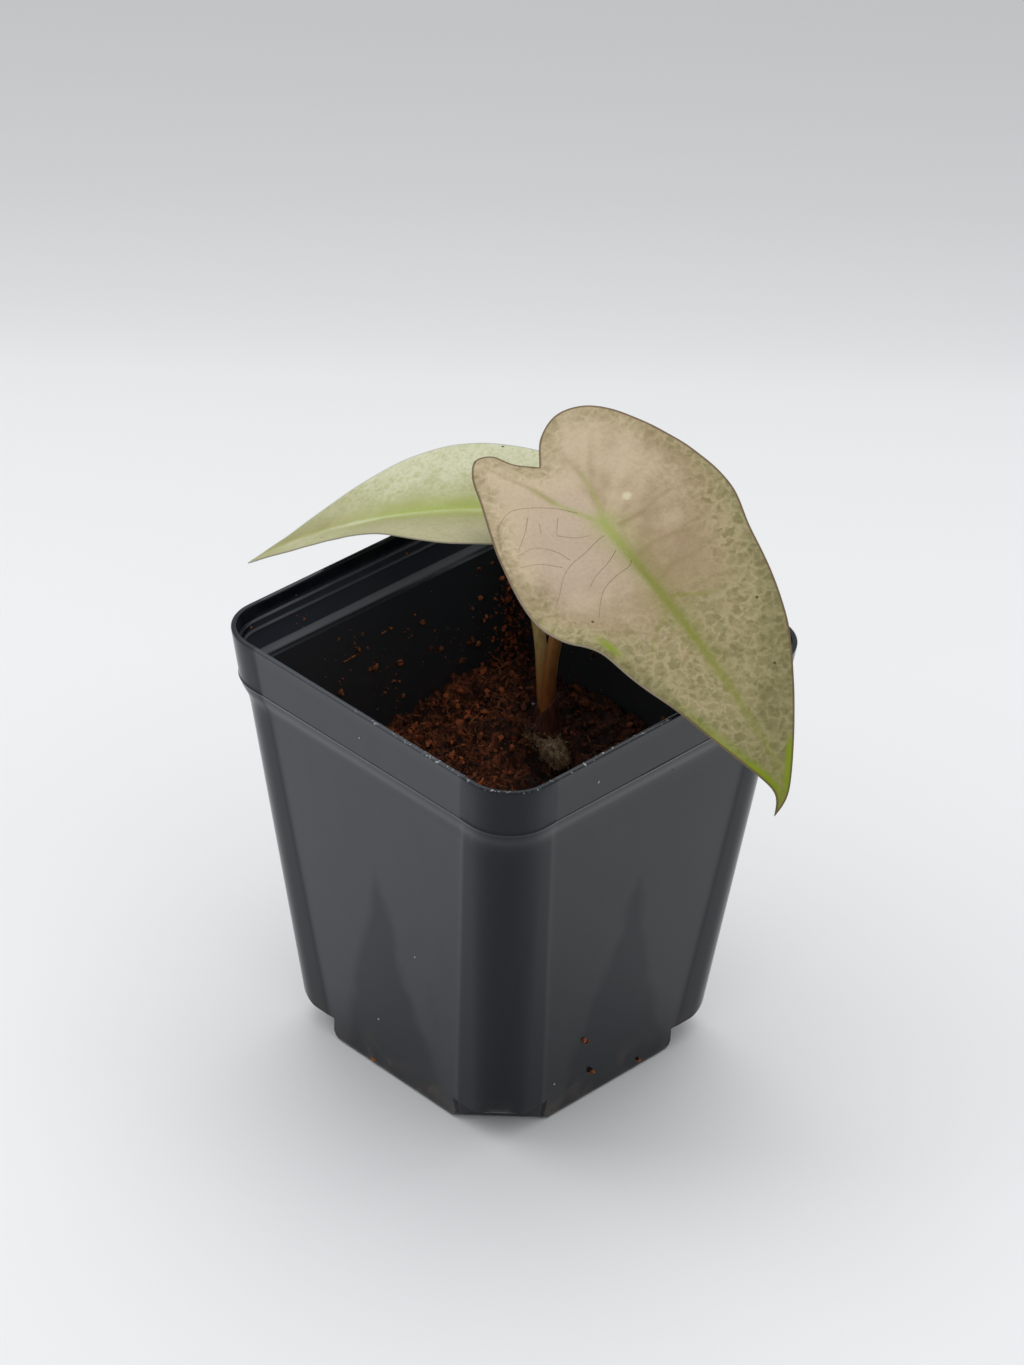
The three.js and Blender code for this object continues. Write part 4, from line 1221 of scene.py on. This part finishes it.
def paint_front(flat, edge, sheet):
    """Masks of the front blade: green and brown veins, net, pink, and age with painted shade, from pale to
    olive.
    """
    s, w = flat[:, 0], flat[:, 1]
    offset = w - sheet.shift(s)
    aside = np.abs(offset + 0.25)
    wide = 1.4 - 0.013 * np.clip(s, 0, 60)
    midrib = np.exp(-(aside / wide) ** 2) * ease(-3.5, 0.5, s) * (1 - 0.55 * ease(24, 50, s))
    glow = 0.45 * np.exp(-(aside / (2.4 * wide)) ** 2) * ease(-3, 2, s) * (1 - 0.7 * ease(20, 40, s))
    knot = 0.85 * np.exp(-((s - 0.2) ** 2 + (w + 0.2) ** 2) / 2.2 ** 2)
    fork = 0.7 * np.exp(-((s - 18.4) ** 2 + w ** 2) / 1.7 ** 2)
    green = np.maximum.reduce([midrib, glow, knot, fork, vein_mask(flat, FRONT_GREEN_VEINS)])
    right = ease(-1.5, 1.5, offset)
    tip_sides = ease(47, 50, s) * ease(1.8, 0.6, edge) * (1 - 0.45 * ease(54, 57, s))
    tip_sides = np.maximum(tip_sides, 0.4 * ease(54.5, 57, s))
    lower = 0.6 * ease(31, 45, s) * (1 - right) * ease(2.6, 0.3, edge)
    streak = np.exp(-((s - 21.6) / 2.4) ** 2 - ((w + 13.9 - 0.25 * (s - 21.6)) / 0.75) ** 2)
    bright = np.clip(np.maximum.reduce([tip_sides, lower, streak]), 0, 1)
    net_right = np.maximum(ease(12, 3, edge) * ease(-10, 8, s), ease(13, 26, s))
    net_left = np.maximum(ease(7.5, 2, edge) * ease(-3, 10, s), ease(12, 26, s))
    brim = 0.75 * ease(5.5, 0.8, edge)
    net = np.maximum(net_right * right + net_left * (1 - right), brim)
    # Age and painted shade: the blade turns olive and darker towards its tip
    age_and_shade_right = hermite([[-20, 0.0], [-5, 0.14], [5, 0.3], [15, 0.46], [24, 0.64], [32, 0.78], [48, 1.0]])
    age_and_shade_left = hermite([[-12, 0.0], [0, 0.07], [10, 0.2], [18, 0.36], [27, 0.55], [38, 0.72], [48, 1.0]])
    age = age_and_shade_right(s) * right + age_and_shade_left(s) * (1 - right)
    age = age + 0.26 * right * ease(7, 0.8, edge) * ease(-16, 0, s)
    age = age + 0.3 * (1 - right) * ease(8, 1, edge) * ease(0, 12, s) * ease(40, 26, s)
    age = age + 0.2 * ease(3.4, 0.4, edge)
    rose = (1 - right) * ease(19, 6, s) * ease(-14, -3, s) * ease(2, 8, edge)
    rim = (1 - right) * ease(-4, 8, s) * ease(40, 30, s)
    return {"green": green, "bright": bright, "soft": vein_mask(flat, FRONT_SOFT_VEINS),
            "net": np.clip(net, 0, 1), "rose": rose, "rim": rim, "age": np.clip(age, 0, 1)}


def paint_back(flat, edge, sheet):
    """The same masks for the back blade. Its right half, next to the pot, is darker."""
    s, w = flat[:, 0], flat[:, 1]
    midrib = np.exp(-(np.abs(w) / 0.8) ** 2) * ease(-3, 0, s) * (1 - 0.85 * ease(16, 34, s))
    glow = 0.75 * np.exp(-(np.abs(w) / 3.4) ** 2) * ease(-3, 2, s) * (1 - ease(12, 34, s))
    net = 0.9 * ease(-1, -5, w) + 0.5 * ease(1, 5, w)
    age = 0.8 * ease(0.5, 3.5, w) * ease(38, 18, s) + 0.35 * ease(20, 40, s)
    age = age + 0.3 * ease(-13, -4, w) * ease(0.5, -0.5, w)
    rose = ease(4, 12, w) * ease(32, 10, s)
    nothing = np.zeros(len(s))
    return {"green": np.maximum(midrib, glow), "bright": nothing, "soft": nothing, "net": net, "rose": rose,
            "rim": ease(2, -2, w), "age": np.clip(age, 0, 1)}


def blade_material(look):
    """Leaf surface: tones by age and painted shade, pale net round darker cells, green veins, brown margin,
    hairlines.
    """
    shader = Shader(look["name"])
    mask = shader.attribute
    s, w, edge = mask("sheet", "Vector").split()
    flat = shader.node("CombineXYZ", {0: s, 1: w})
    # Two scales of drift bend the cells, so that no border is straight
    bent = flat
    for size, shift in ((2.4, 2.0), (0.7, 0.75)):
        drift = flat.noise(size, 2, output="Color").vector("MULTIPLY", (shift, shift, 0))
        bent = bent.vector("ADD", drift)
    bent = bent.vector("MULTIPLY", (1.0, 0.82, 0))
    border = bent.cells(look["cell"], feature="DISTANCE_TO_EDGE")
    fuzzy = flat.noise(0.6, 4, 0.65)
    mottle = flat.noise(2.6, 3, 0.6)
    spots = bent.cells(look["cell"] * 0.72) - fuzzy * 0.35
    cell = (border + fuzzy * 0.22).ramp(0.08, 0.34) * 0.65 + spots.ramp(0.42, 0.08) * 0.5
    density = mask("net") * mottle.ramp(0.25, 0.65, 0.55, 1.0)
    age = mask("age") + flat.noise(6).ramp(0.25, 0.75, -0.09, 0.09) + mottle.ramp(0.25, 0.75, -0.07, 0.07)
    colour = look["pale"]
    for factor, key, blend in (
            (age.ramp(0.0, 0.42), "brown", "MIX"),
            (age.ramp(0.36, 0.78), "olive", "MIX"),
            (age.ramp(0.74, 1.0), "dark", "MIX"),
            (mask("rose") * 0.8, "rose", "MIX"),
            (density * 0.42, "line", "MIX"),
            ((density + 0.06) * cell, "cell_shade", "MULTIPLY"),
            (fuzzy.ramp(0.42, 0.75, 0, 0.5), "speckle", "MULTIPLY"),
            (mask("soft") * 0.85, "soft", "MIX")):
        colour = mix(factor, colour, look[key], blend)
    green = mask("green") * fuzzy.ramp(0.2, 0.6, 0.8, 1.0)
    colour = mix(green, colour, mix(s.ramp(1, 12), look["green_base"], look["green"]))
    colour = mix(mask("bright"), colour, look["bright"])
    brim = edge.ramp(look["margin"] * 1.7, look["margin"] * 0.6, 0, 0.85)
    colour = mix(brim, colour, look["margin_tone"])
    colour = mix(mask("rim") * edge.ramp(0.3, 0.16, 0, 0.8), colour, look["rim"])
    for spot in look["dots"]:
        away = flat.vector("DISTANCE", (*spot, 0), "Value")
        colour = mix(away.ramp(0.34, 0.14), colour, (78, 60, 30))
    for spot in look["pale_spots"]:
        away = flat.vector("DISTANCE", (*spot, 0), "Value") + fuzzy * 0.5
        colour = mix(away.ramp(1.3, 0.6, 0, 0.75), colour, (212, 202, 164))
    colour = mix(mask("ink") * 0.6, colour, look["ink"])
    colour = mix(mask("under"), colour, mix(0.45, colour, look["under"]))
    shader.bump(border + fuzzy * 0.5, 0.12, 0.35)
    return shader.cover(colour, fuzzy.ramp(0.3, 0.7, 0.46, 0.6), 0.22)


LEAF_PINK = {
    "name": "leaf_pink", "cell": 1.7,
    "pale": (196, 176, 147), "brown": (159, 137, 106), "olive": (146, 134, 92),
    "dark": (104, 98, 46), "rose": (184, 163, 143), "line": (192, 178, 142), "soft": (136, 116, 76),
    "cell_shade": (0.60, 0.61, 0.48, 1), "speckle": (0.82, 0.80, 0.74, 1), "green_base": (152, 158, 82),
    "green": (122, 124, 46), "bright": (122, 138, 12), "margin": 0.28, "margin_tone": (98, 76, 54),
    "ink": (104, 78, 56), "under": (190, 178, 158), "rim": (146, 136, 116), "dots": FRONT_DOTS,
    "pale_spots": [PALE_SPOT],
}
LEAF_GREEN = {
    "name": "leaf_green", "cell": 1.3,
    "pale": (200, 199, 170), "brown": (166, 163, 116), "olive": (146, 141, 92),
    "dark": (142, 140, 92), "rose": (168, 160, 124), "line": (206, 206, 178), "soft": (170, 166, 120),
    "cell_shade": (0.80, 0.82, 0.68, 1), "speckle": (0.90, 0.90, 0.82, 1), "green_base": (140, 154, 54),
    "green": (148, 162, 70), "bright": (140, 150, 70), "margin": 0.18, "margin_tone": (140, 130, 112),
    "ink": (150, 140, 110), "under": (198, 196, 172), "rim": (186, 188, 180), "dots": BACK_DOTS,
    "pale_spots": [],
}

add_camera()
add_studio()
add_floor()
add_pot()
add_coir()
add_litter()
add_corm()
add_corm_fuzz()
add_stalk("petiole_front", PETIOLE_FRONT, 0.75, (142, 86, 42), (162, 114, 64), (176, 146, 92))
add_stalk("petiole_back", PETIOLE_BACK, 0.6, (160, 106, 56), (200, 172, 110), (196, 188, 128))
add_sheath()
add_blade("blade_front", BLADE_FRONT, paint_front, LEAF_PINK, 0.05, FRONT_HAIRLINES)
add_blade("blade_back", BLADE_BACK, paint_back, LEAF_GREEN, 0.02)
